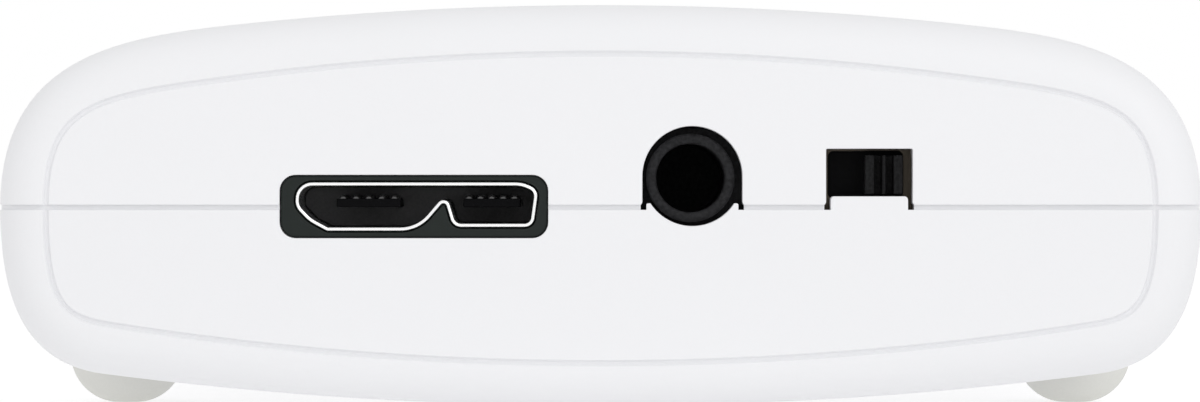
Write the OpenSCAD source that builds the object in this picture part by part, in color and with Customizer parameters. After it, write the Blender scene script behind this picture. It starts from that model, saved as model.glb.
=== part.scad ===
// Video capture box: a palm-size white case of two shells, with a USB socket, an audio jack and a
// slide switch at its front end and a digital video socket at its rear end.
// Millimetres. +Z is up, the front end faces -Y and the origin is the middle of the base.

/* [Case] */
// Width across the sides, at the seam
case_w = 63.5; // [58:0.1:80]
// Length from the front panel to the rear panel
case_l = 94; // [88:0.5:120]
// Height of the crown above the seam
crown_h = 10.7; // [10.2:0.1:14]
// Depth of the belly below the seam
belly_h = 10.5; // [10:0.1:13]
// Radius of the crown's shallow arch
crown_r = 181; // [150:1:300]
// Radius of the belly's shallow arch
belly_r = 204; // [150:1:300]
// Width of the rounded shoulder at each side of the crown
shoulder_w = 12.7; // [11:0.1:17]
// How far the crown's line runs on into the shoulder
shoulder_reach = 6.1; // [5:0.1:9]
// How far the upper side runs straight up from the seam
side_rise = 8.2; // [6:0.1:8.6]
// Width of the rounded haunch at each side of the belly
haunch_w = 5.4; // [5:0.1:9]
// How far the belly's line runs on into the haunch
haunch_reach = 4.3; // [3:0.1:4.8]
// How far the lower side runs straight down from the seam
side_drop = 4.6; // [4:0.1:6]
// Thickness of the shells
wall = 1.8; // [1.5:0.05:2.2]
// Radius of the rounded rim round each end panel
rim_r = 2.4; // [1.8:0.05:3.2]
// Width of that rim below the panel
rim_low = 2.1; // [1.6:0.05:2.8]
// Radius of the arch along the top of an end panel
panel_top_r = 145; // [120:1:200]
// Radius of the arch along the bottom of an end panel
panel_low_r = 165; // [130:1:220]
// Open line between the two shells
seam_gap = 0.25; // [0.1:0.05:0.4]
// Depth of that line, down to where the shells touch
seam_d = 0.35; // [0.15:0.05:0.8]
// Depth of that line along the sides, where it closes
seam_side_d = 0.05; // [0.05:0.05:0.8]
// Width of the groove that outlines each end panel
groove_w = 0.35; // [0.2:0.05:0.6]
// Depth of that groove
groove_d = 0.2; // [0.1:0.05:0.4]
// Flat left between the rim and the groove
groove_land = 0.05; // [0.05:0.05:0.4]
// Thickness of the lip that locates the shells
lip_t = 0.8; // [0.6:0.05:1]
// Height of the lip above the seam
lip_h = 1; // [0.6:0.1:1.6]
// Slip clearance between pieces that fit together
fit = 0.1; // [0.06:0.01:0.15]

/* [Feet and screws] */
// Radius of a rubber foot
foot_r = 3.2; // [3:0.1:4]
// How far the feet stand below the lowest line of the belly
foot_proud = 0.4; // [0.3:0.1:1.5]
// Distance of a foot's axis from the side of the case
foot_inset = 5.3; // [5.2:0.1:7]
// Distance of a foot's axis from its end of the case
foot_setback = 20; // [18:0.5:24]
// How deep a foot sits in its pocket, at the shallow side
foot_sink = 0.45; // [0.3:0.05:0.8]
// Height of the straight rim above a foot's dome
foot_rim_h = 1.4; // [0.6:0.1:2]
// Radius of the flat at the bottom of a foot
foot_flat_r = 0.5; // [0.4:0.1:1]
// Radius of the case screw's shank
screw_r = 1.1; // [0.9:0.05:1.25]
// Radius of the case screw's head
screw_head_r = 2; // [1.7:0.05:2.2]
// Height of the case screw's head
screw_head_h = 1.4; // [1.1:0.1:1.6]
// How far the screw bites into the upper boss
screw_bite = 4.6; // [3:0.1:6]
// Wall round the screw in the upper boss
boss_wall = 1.4; // [1.1:0.05:1.6]
// Wall round the foot's pocket in the lower tower
tower_wall = 1; // [0.8:0.05:1.4]

/* [Board] */
// Thickness of the main board
board_t = 1.6; // [1:0.1:2]
// Gap between the board's edges and the case
board_gap = 0.35; // [0.25:0.05:0.5]
// How far solder tails stand below the board
tail_below = 0.8; // [0.5:0.1:1.2]

/* [USB socket] */
// Distance of the socket's middle to the left of the case's middle
usb_left = 9.8; // [8.5:0.1:12]
// Height of the socket's middle above the seam
usb_rise = 0.05; // [0:0.01:0.3]
// Width of the metal mouth
usb_w = 12.84; // [12.4:0.02:13.2]
// Height of the metal mouth
usb_h = 2.64; // [2.5:0.02:2.9]
// Thickness of the metal
usb_t = 0.24; // [0.2:0.01:0.3]
// Depth of the socket
usb_depth = 7; // [6:0.1:8]
// How far the mouth lies behind the front panel
usb_recess = 0.25; // [0.1:0.05:0.5]
// Dark margin of the bezel beside the mouth
bezel_side = 0.63; // [0.5:0.01:0.9]
// Dark margin of the bezel above and below the mouth
bezel_top = 0.34; // [0.25:0.01:0.6]
// Radius of the bezel's corners
bezel_corner = 0.84; // [0.5:0.02:1.2]
// How far the bezel lies behind the front panel
bezel_recess = 0.15; // [0:0.05:0.3]
// Thickness of the bezel's flange behind the panel
bezel_flange_t = 0.8; // [0.6:0.1:1]
// Overhang of that flange
bezel_flange_w = 0.7; // [0.5:0.1:1]

/* [Audio jack] */
// Distance of the jack's axis to the right of the case's middle
jack_right = 4.72; // [3:0.02:5.2]
// How far the case's arch lies to the right of the jack's axis
arch_shift = 0.1; // [0:0.01:0.15]
// Height of the jack's axis above the seam
jack_rise = 1.55; // [1.4:0.05:1.9]
// How far the case's arch lies above the jack's middle
arch_lift = 0.1; // [0:0.01:0.15]
// Bore of the jack
jack_bore_d = 3.6; // [3.5:0.02:3.7]
// Outside diameter of the barrel
jack_barrel_d = 4.65; // [4.4:0.05:4.9]
// Open ring between the barrel and the case
jack_gap = 0.3; // [0.2:0.02:0.4]
// How far the barrel's face lies behind the front panel
jack_recess = 0.4; // [0.2:0.05:0.8]
// Width of the jack's body
jack_body_w = 6.4; // [6:0.1:7]
// Length of the jack's body
jack_body_l = 12; // [11:0.1:14]
// How far the cradle rises past the seam
cradle_rise = 0.22; // [0.1:0.02:0.4]
// Side gap between the cradle and the arch
cradle_gap = 0.21; // [0.15:0.01:0.35]

/* [Slide switch] */
// Distance of the switch's middle to the right of the case's middle
switch_right = 13.98; // [13.5:0.02:17]
// How far the case's notch lies to the right of the switch's middle
notch_shift = 0.13; // [0:0.01:0.2]
// Height of the knob's middle above the seam
knob_rise = 1.72; // [1.6:0.02:2]
// Width of the knob
knob_w = 1.97; // [1.6:0.01:2.2]
// Height of the knob
knob_h = 2.03; // [1.6:0.01:2.2]
// Travel of the knob
switch_travel = 1.8; // [1.5:0.05:2]
// Running clearance round the knob
knob_play = 0.085; // [0.06:0.005:0.12]
// Room in the frame's window above and below the knob
knob_head_play = 0.23; // [0.1:0.01:0.3]
// How far the knob's face lies behind the front panel
knob_recess = 0.2; // [0:0.05:0.6]
// Part of the metal frame that shows at each side
frame_reveal = 0.3; // [0.2:0.05:0.5]
// Opening above the knob
switch_head_gap = 0.35; // [0.2:0.05:0.6]
// Opening below the knob
switch_foot_gap = 0.12; // [0.1:0.02:0.3]
// Side gap between the lower tab and the upper notch
tab_gap = 0.24; // [0.15:0.01:0.35]
// Width of the switch's metal frame
frame_w = 9; // [8.6:0.1:9.4]
// Depth of the switch's metal frame
frame_l = 3.8; // [3.6:0.1:4.4]
// Height of the switch's metal frame
frame_h = 5; // [4.8:0.1:5.6]
// Thickness of the frame's metal
frame_t = 0.25; // [0.2:0.01:0.3]

/* [Video socket] */
// Height of the socket's middle above the seam
dvi_rise = 0.9; // [0.8:0.05:1.6]
// Width of the socket's collar
dvi_w = 25.4; // [24.6:0.1:27]
// Height of the socket's collar
dvi_h = 8.8; // [8.2:0.1:9.4]
// Thickness of the collar and the flange
dvi_t = 0.6; // [0.5:0.05:0.8]
// How far the collar stands out of the rear panel
dvi_proud = 4; // [3:0.1:5]
// How far the flange runs past a jack post's axis
flange_ear = 2.84; // [2.2:0.02:4]
// Height of the flange
dvi_flange_h = 12; // [11:0.1:12.6]
// Slope of the collar's sides, inward at the bottom
dvi_lean = 1.4; // [0.8:0.1:2]
// Distance between the jack posts
post_spacing = 33.32; // [32.9:0.02:33.8]
// Radius of a post's hexagon, to its corners
post_r = 2.7; // [2.5:0.05:2.9]
// Radius of a post's threaded hole
post_hole_r = 1.25; // [1.1:0.05:1.4]
// Pitch of the contacts
pin_pitch = 1.905; // [1.85:0.005:1.96]
// Width of a contact
pin_w = 0.6; // [0.5:0.05:0.7]
// Thickness of a contact
pin_t = 0.25; // [0.2:0.01:0.28]

/* [Status light] */
// Radius of the light window
light_r = 1.25; // [0.8:0.05:2]
// Distance of the window behind the front panel
light_setback = 22; // [20:0.5:24]
// Height of the LED
led_h = 0.7; // [0.5:0.05:1.2]

/* [Electronics] */
// Side of the capture processor
processor_w = 17; // [14:0.5:19]
// Height of the capture processor
processor_h = 1.4; // [1:0.1:2]
// Thickness of the thermal pad
pad_t = 0.5; // [0.3:0.1:1]
// Side of the heat sink
sink_w = 22; // [19.5:0.5:24]
// Height of the heat sink
sink_h = 5; // [3:0.1:6]
// Thickness of a heat sink fin
fin_t = 1.2; // [0.8:0.1:1.5]
// Number of heat sink fins
fin_count = 7; // [4:1:8]
// Side of the video receiver chip
receiver_w = 14; // [10:0.5:15]
// Side of the USB bridge chip
bridge_w = 10; // [8:0.5:11]
// Side of the audio chip
audio_w = 5; // [4:0.5:6]
// Height of the small chips
chip_h = 1; // [0.7:0.1:1.4]
// Width of a memory chip
memory_w = 8; // [7:0.5:9]
// Length of a memory chip
memory_l = 12.5; // [10:0.5:14]
// Side of an inductor
inductor_w = 4; // [3:0.1:4.6]
// Radius of a capacitor's can
capacitor_r = 2.5; // [2:0.1:2.8]
// Height of a capacitor's can
capacitor_h = 5.4; // [4:0.1:6]

/* [Hidden] */

// Steps of a full round, of half an arch, of a shoulder, of the rim, of a small corner and of a foot
$fn = 64;
arch_steps = 4;
shoulder_steps = 12;
rim_steps = 6;
corner_steps = 5;
dome_steps = 10;

// How far a cut runs past the face that it opens
over = 1;

// Case: its faces, and the lip at its sides
half_w = case_w / 2;
half_gap = seam_gap / 2;
seam_z = foot_proud + belly_h;
front_y = -(case_l + dvi_proud) / 2;
rear_y = front_y + case_l;
front_in = front_y + wall;
rear_in = rear_y - wall;
lip_out = half_w - wall - fit;
lip_in = lip_out - lip_t;
lip_root_h = 2 * lip_h;

// End panel: width, reach and rise of its upper and lower corners
panel_half_w = half_w - rim_r;
panel_top_corner = [10.3, 7.5, 5.8];
panel_low_corner = [3.6, 2.5, 5.4];

// Board: the USB socket sits on it, so its top follows from the socket's height
usb_x = -usb_left;
usb_z = seam_z + usb_rise;
board_top = usb_z - usb_h / 2;
board_z = board_top - board_t;
board_half_w = lip_in - board_gap;
board_front = front_in + bezel_flange_t + board_gap;
board_rear = rear_in - dvi_t - board_gap;
board_mid = (board_front + board_rear) / 2;
board_corner = 2;

// Feet and screws: each foot hides the head of a screw
foot_x = half_w - foot_inset;
foot_spots = [
    for (x = [-foot_x, foot_x])
        for (y = [front_y + foot_setback, rear_y - foot_setback])
            [x, y]
];
foot_seat = seam_z - lookup(foot_x + foot_r + fit, half_section(false, 0)) + foot_sink;
head_low = foot_seat + fit;
head_top = head_low + screw_head_h;
screw_end = board_top + screw_bite;
drive_l = 2.4;
drive_w = 0.5;
drive_depth = 0.7;
boss_r = screw_r + boss_wall;
tower_r = foot_r + tower_wall;

// USB socket: the mouth's middle line, clockwise from its upper left corner
usb_y0 = front_y + usb_recess;
usb_y1 = usb_y0 + usb_depth;
usb_half_w = (usb_w - usb_t) / 2;
usb_half_h = (usb_h - usb_t) / 2;
small_lobe_step = 0.2;
small_lobe_x = 2.1;
small_lobe_lean = 0.25;
small_lobe_slope = [0.75, 0.37];
notch_peak = [1.65, 0.5];
big_lobe_x = [-4.56, 0.2];
big_lobe_slope = [0.68, 0.71];
mouth_shift = 0.15;
mouth_left = mouth_shift - usb_half_w;
mouth_right = mouth_shift + usb_half_w;
usb_corners = [
    [mouth_left, usb_half_h],
    [mouth_right - small_lobe_slope.x, usb_half_h],
    [mouth_right, usb_half_h - small_lobe_slope.y],
    [mouth_right - small_lobe_lean, small_lobe_step - usb_half_h],
    [small_lobe_x, small_lobe_step - usb_half_h],
    notch_peak,
    [big_lobe_x[1], -usb_half_h],
    [big_lobe_x[0], -usb_half_h],
    [mouth_left + big_lobe_slope.x, -big_lobe_slope.y],
    [mouth_left, 0]
];
usb_rounds = [0.8, 1.7, 0.5, 0.45, 0.5, 0.25, 2, 0.2, 2, 0.75];
least_round = 0.05;
usb_back_t = 1.6;
tongue_t = 0.45;
tongue_z = 0.19;
tongue_recess = 0.9;
tongues = [[-4.1, -0.73], [2.57, 5.56]];
contact_count = 5;
contact_w = 0.4;
contact_t = 0.2;
contact_foot_l = 1;
contact_z0 = usb_z + tongue_z + tongue_t / 2;
contact_z1 = contact_z0 + contact_t;
usb_leg_l = 1.2;
usb_leg_inset = 0.6;
usb_leg_rise = 0.3;
usb_leg_top = usb_z + usb_leg_rise;
usb_leg_xs = [usb_x + mouth_left, usb_x + mouth_right];
usb_leg_ys = [board_front + usb_leg_inset, usb_y1 - usb_leg_l - usb_leg_inset];
usb_opening_w = usb_w + 2 * bezel_side;
usb_opening_h = usb_h + 2 * bezel_top;

// Audio jack
jack_x = jack_right;
arch_x = jack_x + arch_shift;
jack_z = seam_z + jack_rise;
arch_mid_z = jack_z + arch_lift;
jack_bore_r = jack_bore_d / 2;
jack_barrel_r = jack_barrel_d / 2;
jack_hole_r = jack_barrel_r + jack_gap;
jack_y0 = front_y + jack_recess;
jack_body_y0 = front_in + fit;
jack_body_y1 = jack_body_y0 + jack_body_l;
jack_roof = 0.9;
jack_back_t = 1;
jack_chamfer = 0.25;
cradle_w = 2 * (jack_hole_r - cradle_gap);
spring_t = 0.2;
spring_half_h = 0.65;
spring_half_l = 0.85;
spring_leg_half_l = 0.5;
spring_spots = [[-1, 7.2], [1, 7.2], [-1, 9.8]];
spring_window = 0.15;

// Slide switch
switch_x = switch_right;
knob_x = switch_x + switch_travel / 2;
knob_z = seam_z + knob_rise;
window_w = knob_w + switch_travel + 2 * knob_play;
window_h = knob_h + 2 * knob_head_play;
notch_x = switch_x + notch_shift;
notch_w = window_w + 2 * frame_reveal;
notch_top = knob_z + knob_h / 2 + switch_head_gap;
notch_corner = 0.25;
tab_w = notch_w - 2 * tab_gap;
tab_top = knob_z - knob_h / 2 - switch_foot_gap;
frame_y0 = front_in + fit;
frame_y1 = frame_y0 + frame_l;
frame_in_y = frame_y0 + frame_t;
frame_leg_l = 1;
frame_leg_inset = 0.4;
slider_w = window_w + switch_travel + 2 * knob_play;
slider_h = 3.2;
slider_l = 1.3;
slider_y0 = frame_in_y + knob_play;
slider_y1 = slider_y0 + slider_l;
rib_groove_x = 0.3;
rib_groove_w = 0.42;
rib_groove_d = 0.3;
switch_base_t = 0.8;
base_y0 = frame_y1 - switch_base_t;
terminal_w = 0.6;
terminal_half_h = 0.4;
terminal_proud = 0.15;
terminal_t = 0.25;
wiper_t = 0.15;
wiper_half_h = 0.8;
finger_w = 0.5;

// Video socket: its contacts run through the insulator and down into the board
dvi_z = seam_z + dvi_rise;
dvi_flange_w = post_spacing + 2 * flange_ear;
dvi_flange_back = rear_in - dvi_t;
dvi_face = rear_y + dvi_proud;
dvi_round = 1.6;
dvi_hole_gap = 0.25;
post_opening_r = post_r + dvi_hole_gap;
least_web = 0.5;
post_web = post_spacing / 2 - post_opening_r - (dvi_w - dvi_lean) / 2 - dvi_hole_gap;
flange_round = 1.5;
insulator_recess = 0.8;
insulator_face = dvi_face - insulator_recess;
socket_hole_w = 1.1;
socket_hole_l = 4;
field_half_w = dvi_w / 2 - dvi_lean - dvi_t;
analog_field_w = 5.6;
analog_x = analog_field_w / 2 - field_half_w;
analog_half_x = 1.35;
signal_columns = floor((2 * field_half_w - analog_field_w) / pin_pitch);
analog_row = 0.7;
blade_t = 0.6;
blade_w = 4.6;
blade_h = 5;
tail_first = 2;
tail_step = 2.2;
block_margin = 1.2;
block_roof = 1.5;
block_top = dvi_z + pin_pitch + block_roof;
pins = concat(
    [for (row = [-1, 0, 1]) for (i = [1:signal_columns]) [field_half_w - (i - 0.5) * pin_pitch, row]],
    [for (row = [-analog_row, analog_row]) for (side = [-1, 1]) [analog_x + side * analog_half_x, row]]
);
stud_r = 1.4;
stud_l = 2.5;
post_proud = 3;
post_hole_l = 4.2;

// Stretches of the end walls that are free for a lip, left to right
bezel_half_w = usb_opening_w / 2 + bezel_flange_w + fit;
jack_half_w = jack_body_w / 2 + fit;
switch_half_w = frame_w / 2 + fit;
flange_half_w = dvi_flange_w / 2 + fit;
front_lips = [
    [-lip_in, usb_x - bezel_half_w],
    [usb_x + bezel_half_w, jack_x - jack_half_w],
    [jack_x + jack_half_w, switch_x - switch_half_w],
    [switch_x + switch_half_w, lip_in]
];
rear_lips = [[-lip_in, -flange_half_w], [flange_half_w, lip_in]];

// Status light
light_y = front_y + light_setback;
light_sink = 0.02;
light_top = seam_z + crown_h - light_sink;
light_flange_w = 0.9;
light_flange_t = 0.8;
led_w = 1.6;
led_l = 0.8;

// Electronics: places on the board, from its middle, its rear edge or the sockets at the front
chip_gap = 2;
processor_y = board_mid - chip_gap;
receiver_setback = 21.5;
receiver_y = board_rear - receiver_setback;
bridge_y = usb_y1 + contact_foot_l + chip_gap + bridge_w / 2;
audio_y = jack_body_y1 + chip_gap + audio_w / 2;
memory_x = (sink_w + memory_w) / 2 + chip_gap;
flash_size = [6, 5, chip_h];
flash_inset = 11.5;
flash_x = flash_inset - board_half_w;
crystal_size = [3.2, 5, 1.1];
crystal_x = (receiver_w + crystal_size.x) / 2 + chip_gap;
inductor_h = 2;
inductor_inset = 11.5;
inductor_x = board_half_w - inductor_inset;
inductor_setbacks = [20, 26, 32];
capacitor_inset = 9;
capacitor_x = board_half_w - capacitor_inset;
capacitor_setback = 24;
capacitor_pitch = 7;
capacitor_spots = [
    [-capacitor_x, front_y + capacitor_setback],
    [-capacitor_x, front_y + capacitor_setback + capacitor_pitch],
    [capacitor_x, receiver_y - capacitor_pitch / 2],
    [capacitor_x, receiver_y + capacitor_pitch / 2]
];
capacitor_base = 0.6;
sink_base_t = 1.5;
pin_dot_r = 0.5;
pin_dot_depth = 0.15;

// Curves of the case: height of an arch, and a point and a slope on a cubic curve
function arch_z(h, r, x) = h - r + sqrt(r * r - x * x);
function curve_at(p, t) =
    pow(1 - t, 3) * p[0] + 3 * pow(1 - t, 2) * t * p[1] + 3 * (1 - t) * t * t * p[2] + pow(t, 3) * p[3];
function slope_at(p, t) =
    pow(1 - t, 2) * (p[1] - p[0]) + 2 * (1 - t) * t * (p[2] - p[1]) + t * t * (p[3] - p[2]);
function unit(v) = v / norm(v);

// Right half of a half section, from its middle out to the seam, drawn in by an inset
function arch_points(h, r, edge, inset) = [
    for (i = [0:arch_steps])
        let (x = edge * i / arch_steps)
            [x, arch_z(h, r, x)] - inset * [x, sqrt(r * r - x * x)] / r
];
function shoulder_points(curve, inset) = [
    for (i = [1:shoulder_steps])
        let (
            t = i / shoulder_steps,
            d = unit(slope_at(curve, t)),
            p = curve_at(curve, t) - inset * [-d.y, d.x]
        )
            [p.x, max(p.y, half_gap)]
];
function quarter_section(half, h, r, corner, inset) =
    let (
        edge = half - corner[0],
        start = [edge, arch_z(h, r, edge)],
        along_arch = [sqrt(r * r - edge * edge), -edge] / r,
        curve = [start, start + corner[1] * along_arch, [half, corner[2]], [half, 0]]
    )
        concat(arch_points(h, r, edge, inset), shoulder_points(curve, inset));
function with_mirror(q) = concat([for (i = [len(q) - 1:-1:1]) [-q[i].x, q[i].y]], q);

// Outlines of a half case and of its end panel, seen from the front, with heights counted away from the seam
function half_section(up, inset) = with_mirror(
    up
        ? quarter_section(half_w, crown_h, crown_r, [shoulder_w, shoulder_reach, side_rise], inset)
        : quarter_section(half_w, belly_h, belly_r, [haunch_w, haunch_reach, side_drop], inset)
);
function panel_section(up, inset) = with_mirror(
    up
        ? quarter_section(panel_half_w, crown_h - rim_r, panel_top_r, panel_top_corner, inset)
        : quarter_section(panel_half_w, belly_h - rim_low, panel_low_r, panel_low_corner, inset)
);
function past_seam(points) = concat(
    points,
    [[points[len(points) - 1].x, -over], [points[0].x, -over]]
);

// Outlines with rounded corners, listed clockwise
function before(list, i) = list[(i + len(list) - 1) % len(list)];
function after(list, i) = list[(i + 1) % len(list)];
function turn(c, i) = cross(c[i] - before(c, i), after(c, i) - c[i]);
function grown(c, d) = [
    for (i = [0:len(c) - 1])
        let (
            a = unit(c[i] - before(c, i)),
            b = unit(after(c, i) - c[i]),
            na = [-a.y, a.x],
            nb = [-b.y, b.x]
        )
            c[i] + d * (na + nb) / (1 + na * nb)
];
function corner_arc(a, p, b, r) =
    let (
        u = unit(a - p),
        v = unit(b - p),
        half = acos(u * v) / 2,
        from = p + u * r / tan(half),
        to = p + v * r / tan(half),
        mid = p + unit(u + v) * r / sin(half),
        a0 = atan2(from.y - mid.y, from.x - mid.x),
        full = atan2(to.y - mid.y, to.x - mid.x) - a0,
        swing = full > 180 ? full - 360 : full < -180 ? full + 360 : full
    )
        [
            for (k = [0:corner_steps])
                let (a = a0 + swing * k / corner_steps)
                    mid + r * [cos(a), sin(a)]
        ];
function rounded(c, rounds, d) =
    let (g = grown(c, d))
        [
            for (i = [0:len(c) - 1])
                let (r = max(least_round, rounds[i] - d * sign(turn(c, i))))
                    each corner_arc(before(g, i), g[i], after(g, i), r)
        ];
function box_corners(w, h) = [[-w / 2, h / 2], [w / 2, h / 2], [w / 2, -h / 2], [-w / 2, -h / 2]];
function four(r) = [r, r, r, r];
function usb_outline(d) = rounded(usb_corners, usb_rounds, d);
function collar_corners() = [
    [-dvi_w / 2, dvi_h / 2], [dvi_w / 2, dvi_h / 2],
    [dvi_w / 2 - dvi_lean, -dvi_h / 2], [dvi_lean - dvi_w / 2, -dvi_h / 2]
];
function collar_outline(d) = rounded(collar_corners(), four(dvi_round), d);

// A box between two opposite corners
module block(low, high) {
    translate(low) cube(high - low);
}

// A box with its middle at x, y and its foot at z
module slab(x, y, z, size) {
    translate([x - size.x / 2, y - size.y / 2, z]) cube(size);
}

// A front-view outline, x across and z up, made solid between two depths
module along(y0, y1) {
    translate([0, y1, 0]) rotate([90, 0, 0]) linear_extrude(y1 - y0) children();
}

// A round bar that runs back from y0 to y1
module bar(x, z, r, y0, y1) {
    translate([x, y0, z]) rotate([-90, 0, 0]) cylinder(r = r, h = y1 - y0);
}

// The upper half as drawn, or the lower half turned over at the seam
module half(up) {
    translate([0, 0, seam_z]) {
        if (up) children();
        else mirror([0, 0, 1]) children();
    }
}

// Solid half case with rounded rims at both ends
module half_body(up) {
    angles = [for (i = [0:rim_steps]) 90 * i / rim_steps];
    front_rings = [for (a = angles) [front_y + rim_r * (1 - cos(a)), sin(a)]];
    rear_rings = [for (i = [rim_steps:-1:0]) [front_y + rear_y - front_rings[i][0], front_rings[i][1]]];
    rings = concat(front_rings, rear_rings);
    panel = panel_section(up, 0);
    outer = half_section(up, 0);
    n = len(outer);
    last = len(rings) - 1;
    points = [
        for (ring = rings)
            for (i = [0:n - 1])
                let (p = panel[i] + (outer[i] - panel[i]) * ring[1])
                    [p.x, ring[0], p.y]
    ];
    sides = [
        for (j = [0:last - 1])
            for (i = [0:n - 1])
                let (a = j * n + i, b = j * n + (i + 1) % n)
                    each [[a, a + n, b + n], [a, b + n, b]]
    ];
    front_face = [for (i = [0:n - 1]) i];
    rear_face = [for (i = [n - 1:-1:0]) last * n + i];
    half(up) polyhedron(points, concat([front_face], sides, [rear_face]));
}

// Hollow of a half case, open at the seam
module half_hollow(up) {
    half(up) along(front_in, rear_in) polygon(past_seam(half_section(up, wall)));
}

// Groove that outlines both end panels
module panel_grooves(up) {
    for (y = [front_y, rear_y])
        half(up) along(y - groove_d, y + groove_d) difference() {
            polygon(past_seam(panel_section(up, groove_land)));
            polygon(past_seam(panel_section(up, groove_land + groove_w)));
        }
}

// Openings that both shells share: USB bezel, video socket collar and jack posts
module shared_openings() {
    along(front_y - over, front_in + over) translate([usb_x, usb_z])
        polygon(rounded(box_corners(usb_opening_w, usb_opening_h), four(bezel_corner), 0));
    along(rear_in - over, rear_y + over) translate([0, dvi_z]) polygon(collar_outline(dvi_hole_gap));
    for (side = [-1, 1]) post_opening(side * post_spacing / 2);
}

// Opening for one jack post, joined to the collar's opening if the web between them would be too thin
module post_opening(x) {
    bar(x, dvi_z, post_opening_r, rear_in - over, rear_y + over);
    if (post_web < least_web)
        block(
            [min(0, x), rear_in - over, dvi_z - post_opening_r],
            [max(0, x), rear_y + over, dvi_z + post_opening_r]
        );
}

// Upper half of the case
module upper_shell() {
    color("#f2f2f5") difference() {
        half_body(true);
        difference() {
            half_hollow(true);
            for (spot = foot_spots)
                translate([spot.x, spot.y, board_top])
                    cylinder(r = boss_r, h = seam_z + crown_h - board_top);
        }
        panel_grooves(true);
        shared_openings();
        jack_arch();
        switch_notch();
        for (spot = foot_spots)
            translate([spot.x, spot.y, board_top - over])
                cylinder(r = screw_r + fit / 2, h = screw_bite + over + fit);
        translate([0, light_y, board_top]) cylinder(r = light_r + fit, h = crown_h + seam_z);
    }
}

// Arch in the upper shell that spans the jack
module jack_arch() {
    bar(arch_x, arch_mid_z, jack_hole_r, front_y - over, front_in + over);
    block(
        [arch_x - jack_hole_r, front_y - over, seam_z - over],
        [arch_x + jack_hole_r, front_in + over, arch_mid_z]
    );
}

// Notch in the upper shell that frames the switch
module switch_notch() {
    notch_h = notch_top - seam_z + over;
    along(front_y - over, front_in + over) translate([notch_x, notch_top - notch_h / 2])
        polygon(rounded(box_corners(notch_w, notch_h), four(notch_corner), 0));
}

// Lower half of the case
module lower_shell() {
    color("#f0f0f3") difference() {
        union() {
            difference() {
                half_body(false);
                difference() {
                    half_hollow(false);
                    for (spot = foot_spots)
                        translate([spot.x, spot.y, 0]) cylinder(r = tower_r, h = board_z);
                }
            }
            seam_ledge();
            for (side = [-1, 1]) side_lip(side);
            for (stretch = front_lips) end_lip(stretch, front_in, 1);
            for (stretch = rear_lips) end_lip(stretch, rear_in, -1);
            block(
                [arch_x - cradle_w / 2, front_y, seam_z - over],
                [arch_x + cradle_w / 2, front_in, seam_z + cradle_rise]
            );
            block([notch_x - tab_w / 2, front_y, seam_z - over], [notch_x + tab_w / 2, front_in, tab_top]);
        }
        panel_grooves(false);
        shared_openings();
        bar(arch_x, arch_mid_z, jack_hole_r, front_y - over, front_in + over);
        for (spot = foot_spots) translate([spot.x, spot.y, 0]) {
            translate([0, 0, -over]) cylinder(r = foot_r + fit, h = foot_seat + over);
            cylinder(r = screw_head_r + fit, h = head_top);
            cylinder(r = screw_r + fit, h = board_z + over);
        }
    }
}

// Ledge that the upper shell stands on, set back from the open line of the seam
module seam_ledge() {
    middle = [0, (front_y + rear_y) / 2];
    translate([0, 0, seam_z - seam_gap]) linear_extrude(seam_gap + half_gap) translate(middle) difference() {
        polygon(rounded(box_corners(case_w - 2 * seam_side_d, case_l - 2 * seam_d), four(rim_r), 0));
        square([case_w - 2 * wall, case_l - 2 * wall], center = true);
    }
}

// Lip inside one side wall that locates the upper shell
module side_lip(side) {
    y0 = front_in + fit;
    y1 = rear_in - fit;
    root = half_w - wall / 2;
    mirror([side > 0 ? 0 : 1, 0, 0]) {
        block([lip_in, y0, seam_z - lip_root_h], [lip_out, y1, seam_z + lip_h]);
        block([lip_in, y0, seam_z - lip_root_h], [root, y1, seam_z - half_gap]);
    }
}

// Lip behind one stretch of an end wall, whose inner face is at y, on the side that dir points to
module end_lip(stretch, y, dir) {
    near = y + dir * fit;
    far = near + dir * lip_t;
    root = y - dir * wall / 2;
    block([stretch[0], min(near, far), seam_z - lip_root_h], [stretch[1], max(near, far), seam_z + lip_h]);
    block([stretch[0], min(root, far), seam_z - lip_root_h], [stretch[1], max(root, far), seam_z - half_gap]);
}

// Four dome feet, one in each pocket
module rubber_feet() {
    dome_h = foot_seat - foot_rim_h;
    dome = [
        for (i = [0:dome_steps])
            let (a = 90 * i / dome_steps)
                [foot_flat_r + (foot_r - foot_flat_r) * sin(a), dome_h * (1 - cos(a))]
    ];
    color("#e1e1dc")
        for (spot = foot_spots)
            translate([spot.x, spot.y, 0])
                rotate_extrude() polygon(concat([[0, 0]], dome, [[foot_r, foot_seat], [0, foot_seat]]));
}

// Four screws that hold the shells and the board together
module case_screws() {
    color("#8a8c90")
        for (spot = foot_spots) translate([spot.x, spot.y, 0]) difference() {
            union() {
                translate([0, 0, head_low]) cylinder(r = screw_head_r, h = screw_head_h);
                translate([0, 0, head_low]) cylinder(r = screw_r, h = screw_end - head_low);
            }
            for (turned = [0, 90])
                rotate(turned) slab(0, 0, head_low - over, [drive_l, drive_w, over + drive_depth]);
        }
}

// Main board, drilled for the screws and for every solder tail
module main_board() {
    middle = [0, board_mid];
    size = [2 * board_half_w, board_rear - board_front];
    color("#1f5a3a") difference() {
        translate([0, 0, board_z]) linear_extrude(board_t) translate(middle)
            polygon(rounded(box_corners(size.x, size.y), four(board_corner), 0));
        translate([0, 0, board_z - over]) linear_extrude(board_t + 2 * over) {
            for (spot = foot_spots) translate(spot) circle(r = screw_r + fit);
            board_slots();
        }
    }
}

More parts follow.
